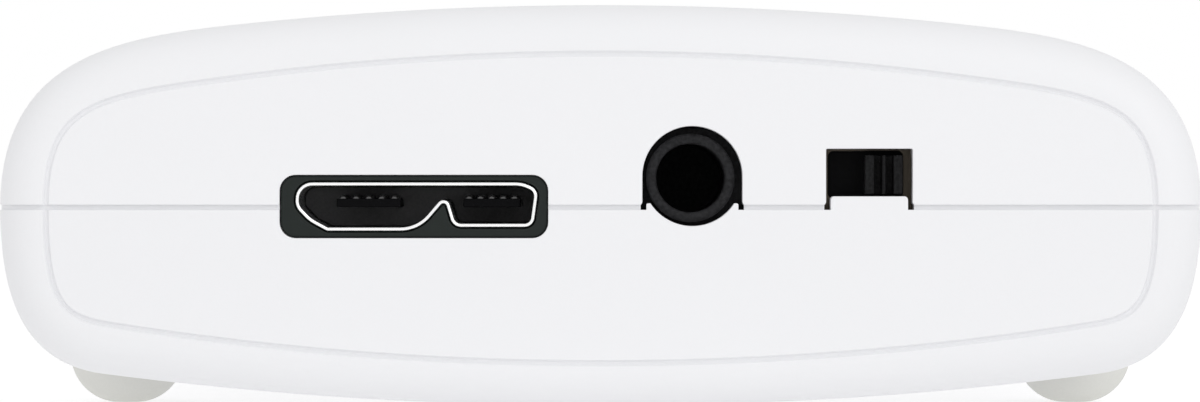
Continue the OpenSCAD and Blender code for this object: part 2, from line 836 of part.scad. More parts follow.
// Plan of the slots for the solder tails
module board_slots() {
    for (x = usb_leg_xs) for (y = usb_leg_ys)
        slot(x, y + usb_leg_l / 2, usb_t, usb_leg_l);
    for (spot = spring_spots)
        slot(spring_leg_x(spot), jack_body_y0 + spot[1], spring_t, 2 * spring_leg_half_l);
    for (side = [-1, 1])
        slot(frame_leg_x(side), frame_y1 - frame_leg_inset - frame_leg_l / 2, frame_t, frame_leg_l);
    for (i = [-1, 0, 1])
        slot(switch_x + i * switch_travel, frame_y1 + terminal_t * 3 / 2, terminal_w, terminal_t);
    for (pin = pins)
        slot(pin.x, tail_y(pin[1]) + pin_t / 2, pin_w, pin_t);
}

// One slot with slip clearance all round
module slot(x, y, w, l) {
    translate([x, y]) square([w + 2 * fit, l + 2 * fit], center = true);
}

// Places of the tails, across or along the board
function spring_leg_x(spot) = jack_x + spot[0] * (jack_body_w / 2 + fit + spring_t / 2);
function frame_leg_x(side) = switch_x + side * (frame_w - frame_t) / 2;
function tail_y(row) = dvi_flange_back - tail_first - tail_step * (row + 1);

// Dark insert that frames the USB mouth, with a flange behind the panel
module usb_bezel() {
    corners = box_corners(usb_opening_w, usb_opening_h);
    color("#2f3331") difference() {
        union() {
            along(front_y + bezel_recess, front_in) translate([usb_x, usb_z])
                polygon(rounded(corners, four(bezel_corner), -fit / 2));
            along(front_in, front_in + bezel_flange_t) translate([usb_x, usb_z])
                polygon(rounded(corners, four(bezel_corner), bezel_flange_w));
        }
        along(front_y - over, front_in + bezel_flange_t + over) translate([usb_x, usb_z])
            polygon(usb_outline((usb_t + fit) / 2));
    }
}

// Metal shell of the USB socket, with four legs through the board
module usb_shell() {
    color("#c9cbcd") {
        along(usb_y0, usb_y1) translate([usb_x, usb_z]) difference() {
            polygon(usb_outline(usb_t / 2));
            polygon(usb_outline(-usb_t / 2));
        }
        for (x = usb_leg_xs) for (y = usb_leg_ys)
            block([x - usb_t / 2, y, board_z - tail_below], [x + usb_t / 2, y + usb_leg_l, usb_leg_top]);
    }
}

// Insulator of the USB socket: a back wall with two tongues
module usb_tongues() {
    back_y = usb_y1 - usb_back_t;
    color("#15161a") difference() {
        union() {
            along(back_y, usb_y1) translate([usb_x, usb_z]) polygon(usb_outline(-usb_t / 2 - fit / 4));
            for (tongue = tongues)
                block(
                    [usb_x + tongue[0], usb_y0 + tongue_recess, contact_z0 - tongue_t],
                    [usb_x + tongue[1], back_y, contact_z0]
                );
        }
        usb_contact_runs();
    }
}

// Places of the contacts across both tongues
function contact_xs() = [
    for (tongue = tongues)
        for (i = [0:contact_count - 1])
            usb_x + tongue[0] + (tongue[1] - tongue[0]) * (i + 0.5) / contact_count
];

// Straight part of the USB contacts, on the tongues and through the back wall
module usb_contact_runs() {
    for (x = contact_xs())
        block(
            [x - contact_w / 2, usb_y0 + tongue_recess + contact_w, contact_z0],
            [x + contact_w / 2, usb_y1 + contact_t, contact_z1]
        );
}

// Contacts of the USB socket, bent down to the board behind it
module usb_contacts() {
    color("#d8b25a") {
        usb_contact_runs();
        for (x = contact_xs()) {
            block(
                [x - contact_w / 2, usb_y1, board_top],
                [x + contact_w / 2, usb_y1 + contact_t, contact_z1]
            );
            block(
                [x - contact_w / 2, usb_y1, board_top],
                [x + contact_w / 2, usb_y1 + contact_foot_l, board_top + contact_t]
            );
        }
    }
}

// Body of the audio jack, with its barrel in the case's arch
module jack_body() {
    color("#26282b") difference() {
        union() {
            block(
                [jack_x - jack_body_w / 2, jack_body_y0, board_top],
                [jack_x + jack_body_w / 2, jack_body_y1, jack_z + jack_bore_r + jack_roof]
            );
            bar(jack_x, jack_z, jack_barrel_r, jack_y0, jack_body_y0 + over);
        }
        bar(jack_x, jack_z, jack_bore_r, jack_y0 - over, jack_body_y1 - jack_back_t);
        translate([jack_x, jack_y0, jack_z]) rotate([-90, 0, 0])
            cylinder(r1 = jack_bore_r + jack_chamfer, r2 = jack_bore_r, h = jack_chamfer);
        for (spot = spring_spots) jack_window(spot);
    }
}

// Window in the jack's side that holds one spring
module jack_window(spot) {
    half_h = spring_half_h + spring_window;
    half_l = spring_half_l + spring_window;
    translate([jack_x, jack_body_y0 + spot[1], jack_z]) mirror([spot[0] > 0 ? 0 : 1, 0, 0])
        block([jack_bore_r / 2, -half_l, -half_h], [jack_body_w / 2 + over, half_l, half_h]);
}

// Springs of the audio jack, each with a leg through the board
module jack_springs() {
    plate_x = jack_bore_r + fit / 2;
    leg_x = jack_body_w / 2 + fit;
    color("#c7a86a")
        for (spot = spring_spots)
            translate([jack_x, jack_body_y0 + spot[1], jack_z]) mirror([spot[0] > 0 ? 0 : 1, 0, 0]) {
                block(
                    [plate_x, -spring_half_l, -spring_half_h],
                    [plate_x + spring_t, spring_half_l, spring_half_h]
                );
                block(
                    [plate_x, -spring_t / 2, -spring_half_h],
                    [leg_x + spring_t, spring_t / 2, spring_half_h]
                );
                block(
                    [leg_x, -spring_leg_half_l, board_z - tail_below - jack_z],
                    [leg_x + spring_t, spring_leg_half_l, spring_half_h]
                );
            }
}

// Metal frame of the slide switch, open at the back, with a leg at each end
module switch_frame() {
    half_frame = frame_w / 2;
    frame_top = board_top + frame_h;
    color("#5a564f") {
        difference() {
            block([switch_x - half_frame, frame_y0, board_top], [switch_x + half_frame, frame_y1, frame_top]);
            block(
                [switch_x - half_frame + frame_t, frame_in_y, board_top + frame_t],
                [switch_x + half_frame - frame_t, frame_y1 + over, frame_top - frame_t]
            );
            block(
                [switch_x - window_w / 2, frame_y0 - over, knob_z - window_h / 2],
                [switch_x + window_w / 2, frame_in_y + over, knob_z + window_h / 2]
            );
        }
        for (side = [-1, 1])
            slab(
                frame_leg_x(side), frame_y1 - frame_leg_inset - frame_leg_l / 2, board_z - tail_below,
                [frame_t, frame_leg_l, board_t + tail_below + frame_t]
            );
    }
}

// Insulating base that closes the back of the switch
module switch_base() {
    half_base = frame_w / 2 - frame_t - fit / 2;
    color("#5b4632") difference() {
        block(
            [switch_x - half_base, base_y0, board_top + frame_t + fit / 2],
            [switch_x + half_base, frame_y1, board_top + frame_h - frame_t - fit / 2]
        );
        terminal_runs();
    }
}

// Straight part of the switch's terminals, through the base
module terminal_runs() {
    for (i = [-1, 0, 1]) {
        x = switch_x + i * switch_travel;
        block(
            [x - terminal_w / 2, base_y0 - terminal_proud, knob_z - terminal_half_h],
            [x + terminal_w / 2, frame_y1 + 2 * terminal_t, knob_z + terminal_half_h]
        );
    }
}

// Three terminals of the switch, bent down through the board
module switch_terminals() {
    color("#cfc9a8") {
        terminal_runs();
        for (i = [-1, 0, 1])
            slab(
                switch_x + i * switch_travel, frame_y1 + terminal_t * 3 / 2, board_z - tail_below,
                [terminal_w, terminal_t, knob_z + terminal_half_h - board_z + tail_below]
            );
    }
}

// Ribbed knob and the slider behind it, at the right end of the travel
module switch_knob() {
    color("#17181a") difference() {
        union() {
            block(
                [knob_x - knob_w / 2, front_y + knob_recess, knob_z - knob_h / 2],
                [knob_x + knob_w / 2, slider_y1, knob_z + knob_h / 2]
            );
            block(
                [knob_x - slider_w / 2, slider_y0, knob_z - slider_h / 2],
                [knob_x + slider_w / 2, slider_y1, knob_z + slider_h / 2]
            );
        }
        for (side = [-1, 1])
            slab(
                knob_x + side * rib_groove_x, front_y + knob_recess, knob_z - knob_h,
                [rib_groove_w, 2 * rib_groove_d, 2 * knob_h]
            );
    }
}

// Contact bridge on the slider's back, which spans two terminals
module switch_wiper() {
    half_plate = (switch_travel + finger_w) / 2;
    color("#c9a24a") {
        block(
            [knob_x - half_plate, slider_y1, knob_z - wiper_half_h],
            [knob_x + half_plate, slider_y1 + wiper_t, knob_z + wiper_half_h]
        );
        for (side = [-1, 1]) {
            x = knob_x + side * switch_travel / 2;
            block(
                [x - finger_w / 2, slider_y1, knob_z - terminal_half_h],
                [x + finger_w / 2, base_y0 - terminal_proud - fit, knob_z + terminal_half_h]
            );
        }
    }
}

// Metal collar and flange of the video socket
module video_socket_shell() {
    color("#bfc2c5") {
        along(rear_in, dvi_face) translate([0, dvi_z]) difference() {
            polygon(collar_outline(0));
            polygon(collar_outline(-dvi_t));
        }
        along(dvi_flange_back, rear_in) translate([0, dvi_z]) difference() {
            polygon(rounded(box_corners(dvi_flange_w, dvi_flange_h), four(flange_round), 0));
            polygon(collar_outline(-dvi_t));
            for (side = [-1, 1]) translate([side * post_spacing / 2, 0]) circle(r = stud_r + fit);
        }
    }
}

// Insulator of the video socket: a face full of holes, and a block that sits on the board
module video_socket_insulator() {
    block_y0 = tail_y(1) - block_margin;
    block_half_w = dvi_w / 2 - dvi_lean;
    color("#f4f2ec") difference() {
        union() {
            along(dvi_flange_back, insulator_face) translate([0, dvi_z])
                polygon(collar_outline(-dvi_t - fit / 2));
            block([-block_half_w, block_y0, board_top], [block_half_w, dvi_flange_back, block_top]);
        }
        for (pin = pins)
            along(insulator_face - socket_hole_l, insulator_face + over)
                translate([pin.x, dvi_z + pin[1] * pin_pitch]) square(socket_hole_w, center = true);
        along(insulator_face - socket_hole_l, insulator_face + over) translate([analog_x, dvi_z]) {
            square([blade_w, blade_t], center = true);
            square([blade_t, blade_h], center = true);
        }
        for (pin = pins) video_contact(pin);
    }
}

// One contact: a straight run from the face, then a tail through the board
module video_contact(pin) {
    z = dvi_z + pin[1] * pin_pitch;
    y = tail_y(pin[1]);
    block(
        [pin.x - pin_w / 2, y, z - pin_t / 2],
        [pin.x + pin_w / 2, insulator_face - socket_hole_w, z + pin_t / 2]
    );
    block(
        [pin.x - pin_w / 2, y, board_z - tail_below],
        [pin.x + pin_w / 2, y + pin_t, z + pin_t / 2]
    );
}

// Contacts of the video socket
module video_socket_contacts() {
    color("#d8b25a") for (pin = pins) video_contact(pin);
}

// Two hexagonal posts that take a plug's thumbscrews
module jack_posts() {
    post_face = rear_y + post_proud;
    color("#c8cacc")
        for (side = [-1, 1]) {
            x = side * post_spacing / 2;
            difference() {
                union() {
                    translate([x, rear_in, dvi_z]) rotate([-90, 0, 0])
                        cylinder(r = post_r, h = post_face - rear_in, $fn = 6);
                    bar(x, dvi_z, stud_r, dvi_flange_back - stud_l, rear_in + over);
                }
                bar(x, dvi_z, post_hole_r, post_face - post_hole_l, post_face + over);
            }
        }
}

// A chip that lies on the board, with a dimple that marks its first corner
module chip(x, y, size) {
    difference() {
        slab(x, y, board_top, size);
        translate([x - size.x / 2, y - size.y / 2, board_top + size.z - pin_dot_depth])
            translate([2 * pin_dot_r, 2 * pin_dot_r, 0]) cylinder(r = pin_dot_r, h = over);
    }
}

module video_receiver_chip() {
    color("#1d1e20") chip(0, receiver_y, [receiver_w, receiver_w, chip_h]);
}

module capture_processor() {
    color("#232427") slab(0, processor_y, board_top, [processor_w, processor_w, processor_h]);
}

// Soft pad between the processor and the heat sink
module thermal_pad() {
    color("#8fa7b8") slab(0, processor_y, board_top + processor_h, [processor_w, processor_w, pad_t]);
}

// Finned heat sink on the processor
module heat_sink() {
    sink_z = board_top + processor_h + pad_t;
    fin_step = (sink_w - fin_t) / (fin_count - 1);
    color("#9a9da1") {
        slab(0, processor_y, sink_z, [sink_w, sink_w, sink_base_t]);
        for (i = [0:fin_count - 1])
            slab((i * fin_step) - (sink_w - fin_t) / 2, processor_y, sink_z, [fin_t, sink_w, sink_h]);
    }
}

module memory_chips() {
    color("#1d1e20")
        for (side = [-1, 1]) chip(side * memory_x, processor_y, [memory_w, memory_l, chip_h]);
}

module flash_chip() {
    color("#1d1e20") chip(flash_x, receiver_y, flash_size);
}

module usb_bridge_chip() {
    color("#1d1e20") chip(usb_x, bridge_y, [bridge_w, bridge_w, chip_h]);
}

module audio_chip() {
    color("#1d1e20") chip(jack_x + audio_w / 4, audio_y, [audio_w, audio_w, chip_h]);
}

module crystal() {
    color("#c5c7c9") slab(crystal_x, receiver_y, board_top, crystal_size);
}

// Power inductors in a row behind the switch
module inductors() {
    color("#3a3a3d")
        for (setback = inductor_setbacks)
            slab(inductor_x, front_y + setback, board_top, [inductor_w, inductor_w, inductor_h]);
}

// Capacitor cans on their square bases
module capacitors() {
    color("#b4b7ba")
        for (spot = capacitor_spots) {
            slab(spot.x, spot.y, board_top, [2 * capacitor_r, 2 * capacitor_r, capacitor_base]);
            translate([spot.x, spot.y, board_top]) cylinder(r = capacitor_r - fit, h = capacitor_h);
        }
}

module status_led() {
    color("#e9e6c8") slab(0, light_y, board_top, [led_w, led_l, led_h]);
}

// Clear rod that carries the light up to the crown, with a flange under the upper shell
module light_pipe() {
    ceiling = seam_z + crown_h - wall - fit;
    color("#dfe6ea") translate([0, light_y, 0]) {
        foot = board_top + led_h + fit;
        translate([0, 0, foot]) cylinder(r = light_r, h = light_top - foot);
        translate([0, 0, ceiling - light_flange_t])
            cylinder(r = light_r + light_flange_w, h = light_flange_t);
    }
}

upper_shell();
lower_shell();
rubber_feet();
case_screws();
main_board();
usb_bezel();
usb_shell();
usb_tongues();
usb_contacts();
jack_body();
jack_springs();
switch_frame();
switch_base();
switch_terminals();
switch_knob();
switch_wiper();
video_socket_shell();
video_socket_insulator();
video_socket_contacts();
jack_posts();
video_receiver_chip();
capture_processor();
thermal_pad();
heat_sink();
memory_chips();
flash_chip();
usb_bridge_chip();
audio_chip();
crystal();
inductors();
capacitors();
status_led();
light_pipe();
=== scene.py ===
import math
from collections import namedtuple

import bmesh
import bpy
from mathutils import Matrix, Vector


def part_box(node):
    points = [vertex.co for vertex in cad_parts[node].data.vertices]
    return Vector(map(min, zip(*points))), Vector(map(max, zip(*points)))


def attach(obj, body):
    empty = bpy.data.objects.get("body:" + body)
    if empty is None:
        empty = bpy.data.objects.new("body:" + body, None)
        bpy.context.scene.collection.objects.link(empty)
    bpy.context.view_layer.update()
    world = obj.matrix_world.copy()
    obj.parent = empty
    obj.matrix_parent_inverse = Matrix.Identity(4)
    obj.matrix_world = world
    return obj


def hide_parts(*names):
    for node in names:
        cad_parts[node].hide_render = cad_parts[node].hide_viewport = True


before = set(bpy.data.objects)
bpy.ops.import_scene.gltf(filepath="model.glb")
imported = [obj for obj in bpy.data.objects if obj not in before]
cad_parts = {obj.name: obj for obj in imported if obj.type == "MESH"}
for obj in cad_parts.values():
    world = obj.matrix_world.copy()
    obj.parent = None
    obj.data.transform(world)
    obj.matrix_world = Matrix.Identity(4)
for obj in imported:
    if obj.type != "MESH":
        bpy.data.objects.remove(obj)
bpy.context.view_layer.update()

# Sizes are in millimetres. They follow the part's source, apart from fine relief that is set for the looks
MM = 0.001
FIT = 0.1
OVER = 1.0
HAIR = 0.001
LEAST_ROUND = 0.02

# Case
CASE_W = 63.5
CASE_L = 94.0
CROWN_H = 10.7
BELLY_H = 10.5
WALL = 1.8
RIM_R = 2.4
RIM_LOW = 2.1
GROOVE_LAND = 0.05
GROOVE_W = 0.35
GROOVE_D = 0.2
HALF_GAP = 0.125
SEAM_D = 0.25
SEAM_SIDE_D = 0.05
SEAM_TOP_EDGE_R = 0.08
SEAM_LOW_EDGE_R = 0.04
LIP_T = 0.8
LIP_H = 1.0
FOOT_PROUD = 0.4
HALF_W = CASE_W / 2
SEAM_Z = FOOT_PROUD + BELLY_H
FRONT_Y = -49.0
REAR_Y = FRONT_Y + CASE_L
FRONT_IN = FRONT_Y + WALL
REAR_IN = REAR_Y - WALL
MIDDLE = (0.0, (FRONT_Y + REAR_Y) / 2)
LIP_OUT = HALF_W - WALL - FIT
LIP_IN = LIP_OUT - LIP_T
ROOF = SEAM_Z + CROWN_H

# A quarter of an outline: a shallow arch, and a rounded corner with its width, reach and rise
Form = namedtuple("Form", "half height radius corner reach rise")
CROWN = Form(HALF_W, CROWN_H, 181.0, 12.7, 6.1, 8.2)
BELLY = Form(HALF_W, BELLY_H, 204.0, 5.4, 4.3, 4.6)
PANEL_TOP = Form(HALF_W - RIM_R, CROWN_H - RIM_R, 145.0, 10.3, 7.5, 5.8)
PANEL_LOW = Form(HALF_W - RIM_R, BELLY_H - RIM_LOW, 165.0, 3.6, 2.5, 5.4)

# USB socket: the middle line of its mouth, clockwise from the upper left corner
USB_X = -9.8
USB_Z = SEAM_Z + 0.05
USB_T = 0.24
USB_Y0 = FRONT_Y + 0.25
USB_Y1 = USB_Y0 + 7.0
USB_HALF_W = 6.3
USB_HALF_H = 1.2
MOUTH_SHIFT = 0.15
MOUTH_LEFT = MOUTH_SHIFT - USB_HALF_W
MOUTH_RIGHT = MOUTH_SHIFT + USB_HALF_W
SMALL_LOBE_X = 2.1
SMALL_LOBE_LOW = 0.2 - USB_HALF_H
SMALL_LOBE_LEAN = 0.25
SMALL_LOBE_SLOPE = (0.75, 0.37)
LOBE_NOTCH = (1.65, 0.5)
BIG_LOBE_X = (-4.56, 0.2)
BIG_LOBE_SLOPE = (0.68, 0.71)
USB_CORNERS = [
    (MOUTH_LEFT, USB_HALF_H),
    (MOUTH_RIGHT - SMALL_LOBE_SLOPE[0], USB_HALF_H),
    (MOUTH_RIGHT, USB_HALF_H - SMALL_LOBE_SLOPE[1]),
    (MOUTH_RIGHT - SMALL_LOBE_LEAN, SMALL_LOBE_LOW),
    (SMALL_LOBE_X, SMALL_LOBE_LOW),
    LOBE_NOTCH,
    (BIG_LOBE_X[1], -USB_HALF_H),
    (BIG_LOBE_X[0], -USB_HALF_H),
    (MOUTH_LEFT + BIG_LOBE_SLOPE[0], -BIG_LOBE_SLOPE[1]),
    (MOUTH_LEFT, 0.0),
]
USB_ROUNDS = [0.8, 1.7, 0.5, 0.45, 0.5, 0.25, 2.0, 0.2, 2.0, 0.75]
USB_LEG_YS = (-45.45, -43.55)
USB_LEG_L = 1.2
USB_LEG_RISE = 0.3
USB_LEG_EDGE_R = 0.05
USB_OPENING = (14.1, 3.32)
BEZEL_CORNER = 0.84
BEZEL_RECESS = 0.15
BEZEL_FLANGE = 0.7
BEZEL_FLANGE_T = 0.8
BEZEL_EDGE_R = 0.1
USB_BACK_T = 1.6
TONGUES = [(-4.1, -0.73), (2.57, 5.56)]
TONGUE_Z = 0.19
TONGUE_T = 0.45
TONGUE_RECESS = 0.9
TONGUE_EDGE_R = 0.06
CONTACT_COUNT = 5
CONTACT_W = 0.4
CONTACT_T = 0.2
CONTACT_FOOT_L = 1.0
CONTACT_EDGE_R = 0.03
CONTACT_TIP_L = 0.25
CONTACT_TIP_SHARE = (0.7, 0.5)

# Board, feet and screws
BOARD_TOP = USB_Z - USB_HALF_H - USB_T / 2
BOARD_T = 1.6
BOARD_Z = BOARD_TOP - BOARD_T
TAIL_BELOW = 0.8
FOOT_R = 3.2
FOOT_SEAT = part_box("rubber_feet")[1].z / MM
FOOT_RIM_H = 1.4
FOOT_FLAT_R = 0.5
FOOT_EDGE_R = 0.1
FOOT_X = HALF_W - 5.3
FOOT_SETBACK = 20.0
FOOT_SPOTS = [(x, y) for x in (-FOOT_X, FOOT_X) for y in (FRONT_Y + FOOT_SETBACK, REAR_Y - FOOT_SETBACK)]
SCREW_R = 1.1
SCREW_HEAD_R = 2.0
SCREW_HEAD_H = 1.4
SCREW_BITE = 4.6
BOSS_R = 2.5
TOWER_R = 4.2

# Audio jack, and the case's arch and cradle round it
JACK_X = 4.72
JACK_Z = SEAM_Z + 1.55
JACK_BORE_R = 1.8
JACK_BARREL_R = 2.325
JACK_LIP_R = 0.22
JACK_Y0 = FRONT_Y + 0.4
JACK_HALF_W = 3.2
JACK_BODY_Y0 = FRONT_IN + FIT
JACK_BODY_L = 12.0
JACK_BODY_Y1 = JACK_BODY_Y0 + JACK_BODY_L
JACK_EDGE_R = 0.15
JACK_BACK_T = 1.0
JACK_TOP = JACK_Z + JACK_BORE_R + 0.9
SPRING_SPOTS = [(-1, 7.2), (1, 7.2), (-1, 9.8)]
SPRING_WINDOW = (1.0, 0.8)
ARCH_X = JACK_X + 0.1
ARCH_Z = JACK_Z + 0.1
JACK_HOLE_R = 2.625
CRADLE_HALF_W = 2.415
CRADLE_RISE = 0.22
CRADLE_CORNER = 0.1

# Slide switch, and the case's notch and tab round it
SWITCH_X = 13.98
TRAVEL = 1.8
KNOB_X = SWITCH_X + TRAVEL / 2
KNOB_Z = SEAM_Z + 1.72
KNOB_W = 1.97
KNOB_H = 2.03
KNOB_PLAY = 0.085
KNOB_HEAD_PLAY = 0.23
KNOB_RECESS = 0.2
KNOB_EDGE_R = 0.07
RIB_GROOVE_X = 0.3
RIB_GROOVE_W = 0.42
RIB_GROOVE_D = 0.9
RIB_EDGE_R = 0.08
RIB_FOOT_R = 0.1
KNOB_BACK_R = 0.05
WINDOW = (KNOB_W + TRAVEL + 2 * KNOB_PLAY, KNOB_H + 2 * KNOB_HEAD_PLAY)
WINDOW_CORNER = 0.28
WINDOW_EDGE_R = 0.05
SLIDER_W = WINDOW[0] + TRAVEL + 2 * KNOB_PLAY
SLIDER_H = 3.2
SLIDER_T = 1.3
SLIDER_EDGE_R = 0.1
FRAME_W = 9.0
FRAME_H = 5.0
FRAME_D = 3.8
FRAME_T = 0.25
FRAME_EDGE_R = 0.12
FRAME_Y0 = FRONT_IN + FIT
FRAME_Y1 = FRAME_Y0 + FRAME_D
FRAME_LEG_L = 1.0
FRAME_LEG_INSET = 0.4
FRAME_LEG_EDGE_R = 0.04
SLIDER_Y0 = FRAME_Y0 + FRAME_T + KNOB_PLAY
SLIDER_Y1 = SLIDER_Y0 + SLIDER_T
NOTCH_X = SWITCH_X + 0.13
NOTCH_W = WINDOW[0] + 0.6
NOTCH_TOP = KNOB_Z + KNOB_H / 2 + 0.35
NOTCH_CORNER = 0.08
TAB_TOP = KNOB_Z - KNOB_H / 2 - 0.12
TAB_HALF_W = NOTCH_W / 2 - 0.24
TAB_CORNER = 0.2

# How the arch and the notch flare at the seam
FLARE_W = 0.09
FLARE_H = 0.16

# Video socket
DVI_Z = SEAM_Z + 0.9
DVI_CORNERS = [(-12.7, 4.4), (12.7, 4.4), (11.3, -4.4), (-11.3, -4.4)]
DVI_ROUND = 1.6
DVI_T = 0.6
DVI_FACE = REAR_Y + 4.0
DVI_BACK = REAR_IN - DVI_T
DVI_HOLE_GAP = 0.25
FLANGE = (39.0, 12.0)
FLANGE_ROUND = 1.5
POST_X = 16.66
POST_R = 2.7
POST_FACE = REAR_Y + 3.0
POST_CHAMFER = 0.3
POST_HOLE_R = 1.25
POST_HOLE_L = 4.2
THREAD_TURNS = 13
THREAD_STEP = 0.3
THREAD_DEPTH = 0.12
STUD_R = 1.4
STUD_L = 2.5
PIN_PITCH = 1.905
PIN_FIELD = 10.7
PIN_COLUMNS = 8
ANALOG_X = -7.9
ANALOG_HALF_X = 1.35
ANALOG_ROW = 0.7
BLADE_W = 4.6
BLADE_H = 5.0
BLADE_T = 0.6
BLADE_CORNER = 0.08
HOLE_W = 1.1
HOLE_L = 4.0
HOLE_CORNER = 0.1
INSULATOR_FACE = DVI_FACE - 0.8
INSULATOR_EDGE_R = 0.25
BLOCK_HALF_W = 11.3
BLOCK_Y0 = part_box("video_socket_insulator")[0].y / MM
BLOCK_TOP = DVI_Z + PIN_PITCH + 1.5
BLOCK_EDGE_R = 0.2

# Status light
LIGHT_Y = FRONT_Y + 22.0
LIGHT_R = 1.25
LIGHT_TOP = ROOF - 0.02
LIGHT_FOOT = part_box("light_pipe")[0].z / MM
LIGHT_FLANGE_R = LIGHT_R + 0.9
LIGHT_FLANGE_T = 0.8


# Outlines, seen from the front, as lists of points (x across, z up)
def grown(corners, amount):
    """The corners of an outline that is larger by amount all round. Corners run clockwise."""
    points = [Vector(c) for c in corners]
    made = []
    for i, here in enumerate(points):
        along = (here - points[i - 1]).normalized()
        onward = (points[(i + 1) % len(points)] - here).normalized()
        out_a = Vector((-along.y, along.x))
        out_b = Vector((-onward.y, onward.x))
        made.append(here + amount * (out_a + out_b) / (1 + out_a.dot(out_b)))
    return made


def corner_arc(before, here, after, radius, steps):
    """Points of the round that replaces one corner."""
    u = (before - here).normalized()
    v = (after - here).normalized()
    half = u.angle(v) / 2
    middle = here + (u + v).normalized() * radius / math.sin(half)
    start = here + u * radius / math.tan(half) - middle
    end = here + v * radius / math.tan(half) - middle
    first = math.atan2(start.y, start.x)
    swing = math.atan2(end.y, end.x) - first
    swing -= 2 * math.pi * round(swing / (2 * math.pi))
    angles = [first + swing * k / steps for k in range(steps + 1)]
    return [middle + radius * Vector((math.cos(a), math.sin(a))) for a in angles]


def rounded(corners, rounds, grow=0.0, steps=8):
    """An outline with rounded corners, made larger by grow."""
    plain = [Vector(c) for c in corners]
    moved = grown(corners, grow)
    outline = []
    for i, here in enumerate(moved):
        after = (i + 1) % len(moved)
        turn = (plain[i] - plain[i - 1]).cross(plain[after] - plain[i])
        radius = max(LEAST_ROUND, rounds[i] - grow * math.copysign(1.0, turn))
        outline += corner_arc(moved[i - 1], here, moved[after], radius, steps)
    return outline


def rectangle(w, h, middle=(0.0, 0.0)):
    x, z = middle
    return [(x - w / 2, z + h / 2), (x + w / 2, z + h / 2), (x + w / 2, z - h / 2), (x - w / 2, z - h / 2)]


def circle(r, middle=(0.0, 0.0), count=64):
    angles = [-2 * math.pi * i / count for i in range(count)]
    return [Vector((middle[0] + r * math.cos(a), middle[1] + r * math.sin(a))) for a in angles]


def usb_outline(grow):
    return [p + Vector((USB_X, USB_Z)) for p in rounded(USB_CORNERS, USB_ROUNDS, grow)]


def usb_opening(grow):
    return rounded(rectangle(*USB_OPENING, (USB_X, USB_Z)), [BEZEL_CORNER] * 4, grow)


def dvi_outline(grow):
    return [p + Vector((0, DVI_Z)) for p in rounded(DVI_CORNERS, [DVI_ROUND] * 4, grow)]


# Outlines of the case and of its end panels
ARCH_STEPS = 18
CORNER_STEPS = 30


def quarter(form, inset):
    """One quarter, from the middle out to the seam, with heights counted away from the seam."""
    edge = form.half - form.corner
    points = []
    for i in range(ARCH_STEPS + 1):
        x = edge * i / ARCH_STEPS
        root = math.sqrt(form.radius**2 - x**2)
        start = Vector((x, form.height - form.radius + root))
        points.append(start - inset * Vector((x, root)) / form.radius)
    run = form.reach * Vector((root, -edge)) / form.radius
    end = Vector((form.half, 0.0))
    curve = [start, start + run, Vector((form.half, form.rise)), end]
    for i in range(1, CORNER_STEPS + 1):
        t = i / CORNER_STEPS
        s = 1 - t
        point = s**3 * curve[0] + 3 * s * s * t * curve[1] + 3 * s * t * t * curve[2] + t**3 * curve[3]
        slope = s * s * (curve[1] - curve[0]) + 2 * s * t * (curve[2] - curve[1])
        slope += t * t * (curve[3] - curve[2])
        slope.normalize()
        points.append(point - inset * Vector((-slope.y, slope.x)))
    points[-1].y = 0.0
    return points


def whole(upper, lower, inset):
    """An outline of four quarters, clockwise from the middle of its top."""
    top = [(p.x, SEAM_Z + p.y) for p in quarter(upper, inset)]
    low = [(p.x, SEAM_Z - p.y) for p in quarter(lower, inset)[:-1]]
    right = top + low[::-1]
    left = [(-x, z) for x, z in reversed(right[1:-1])]
    return [Vector(p) for p in right + left]


def case_outline(inset=0.0):
    return whole(CROWN, BELLY, inset)


def panel_outline(inset=0.0):
    return whole(PANEL_TOP, PANEL_LOW, inset)


# Meshes
TURN_STEPS = 6
LIP_STEPS = 12
GATE_STEPS = 40


def ring(outline, y):
    """An outline as a ring of points at one depth."""
    return [(p[0], y, p[1]) for p in outline]


def flat_ring(outline, z):
    """An outline in plan as a ring of points at one height."""
    return [(p[0], p[1], z) for p in outline]


def quarter_turn(steps):
    """Pairs that run along a quarter of a circle: how far it has gone in, and how far it is still off."""
    angles = [math.pi / 2 * i / steps for i in range(steps + 1)]
    return [(1 - math.cos(a), 1 - math.sin(a)) for a in angles]


def loft(rings, closed=False):
    """A closed skin over a row of rings, with capped ends or with its last ring joined to its first."""
    mesh = bmesh.new()
    rows = [[mesh.verts.new(Vector(p) * MM) for p in points] for points in rings]
    pairs = list(zip(rows, rows[1:]))
    if closed:
        pairs.append((rows[-1], rows[0]))
    for a, b in pairs:
        for i in range(len(a)):
            j = (i + 1) % len(a)
            mesh.faces.new((a[i], a[j], b[j], b[i]))
    if not closed:
        mesh.faces.new(rows[0])
        mesh.faces.new(rows[-1])
    bmesh.ops.recalc_face_normals(mesh, faces=mesh.faces)
    return mesh


def prism(outline, y0, y1):
    return loft([ring(outline, y0), ring(outline, y1)])


def opening(outline_of, face, depth, flare):
    """A cutter whose mouth is rounded over at the panel. A negative depth cuts towards -Y."""
    way = math.copysign(1.0, depth)
    rings = [ring(outline_of(flare), face - way * OVER)]
    for gone, off in quarter_turn(TURN_STEPS):
        rings.append(ring(outline_of(flare * off), face + way * flare * gone))
    rings.append(ring(outline_of(0.0), face + depth))
    return loft(rings)


def softened(outline_of, face, depth, edge):
    """A plug whose edge is rounded at its face. A negative depth runs towards -Y."""
    way = math.copysign(1.0, depth)
    rings = []
    for gone, off in quarter_turn(TURN_STEPS):
        rings.append(ring(outline_of(-edge * off), face + way * edge * gone))
    rings.append(ring(outline_of(0.0), face + depth))
    return loft(rings)


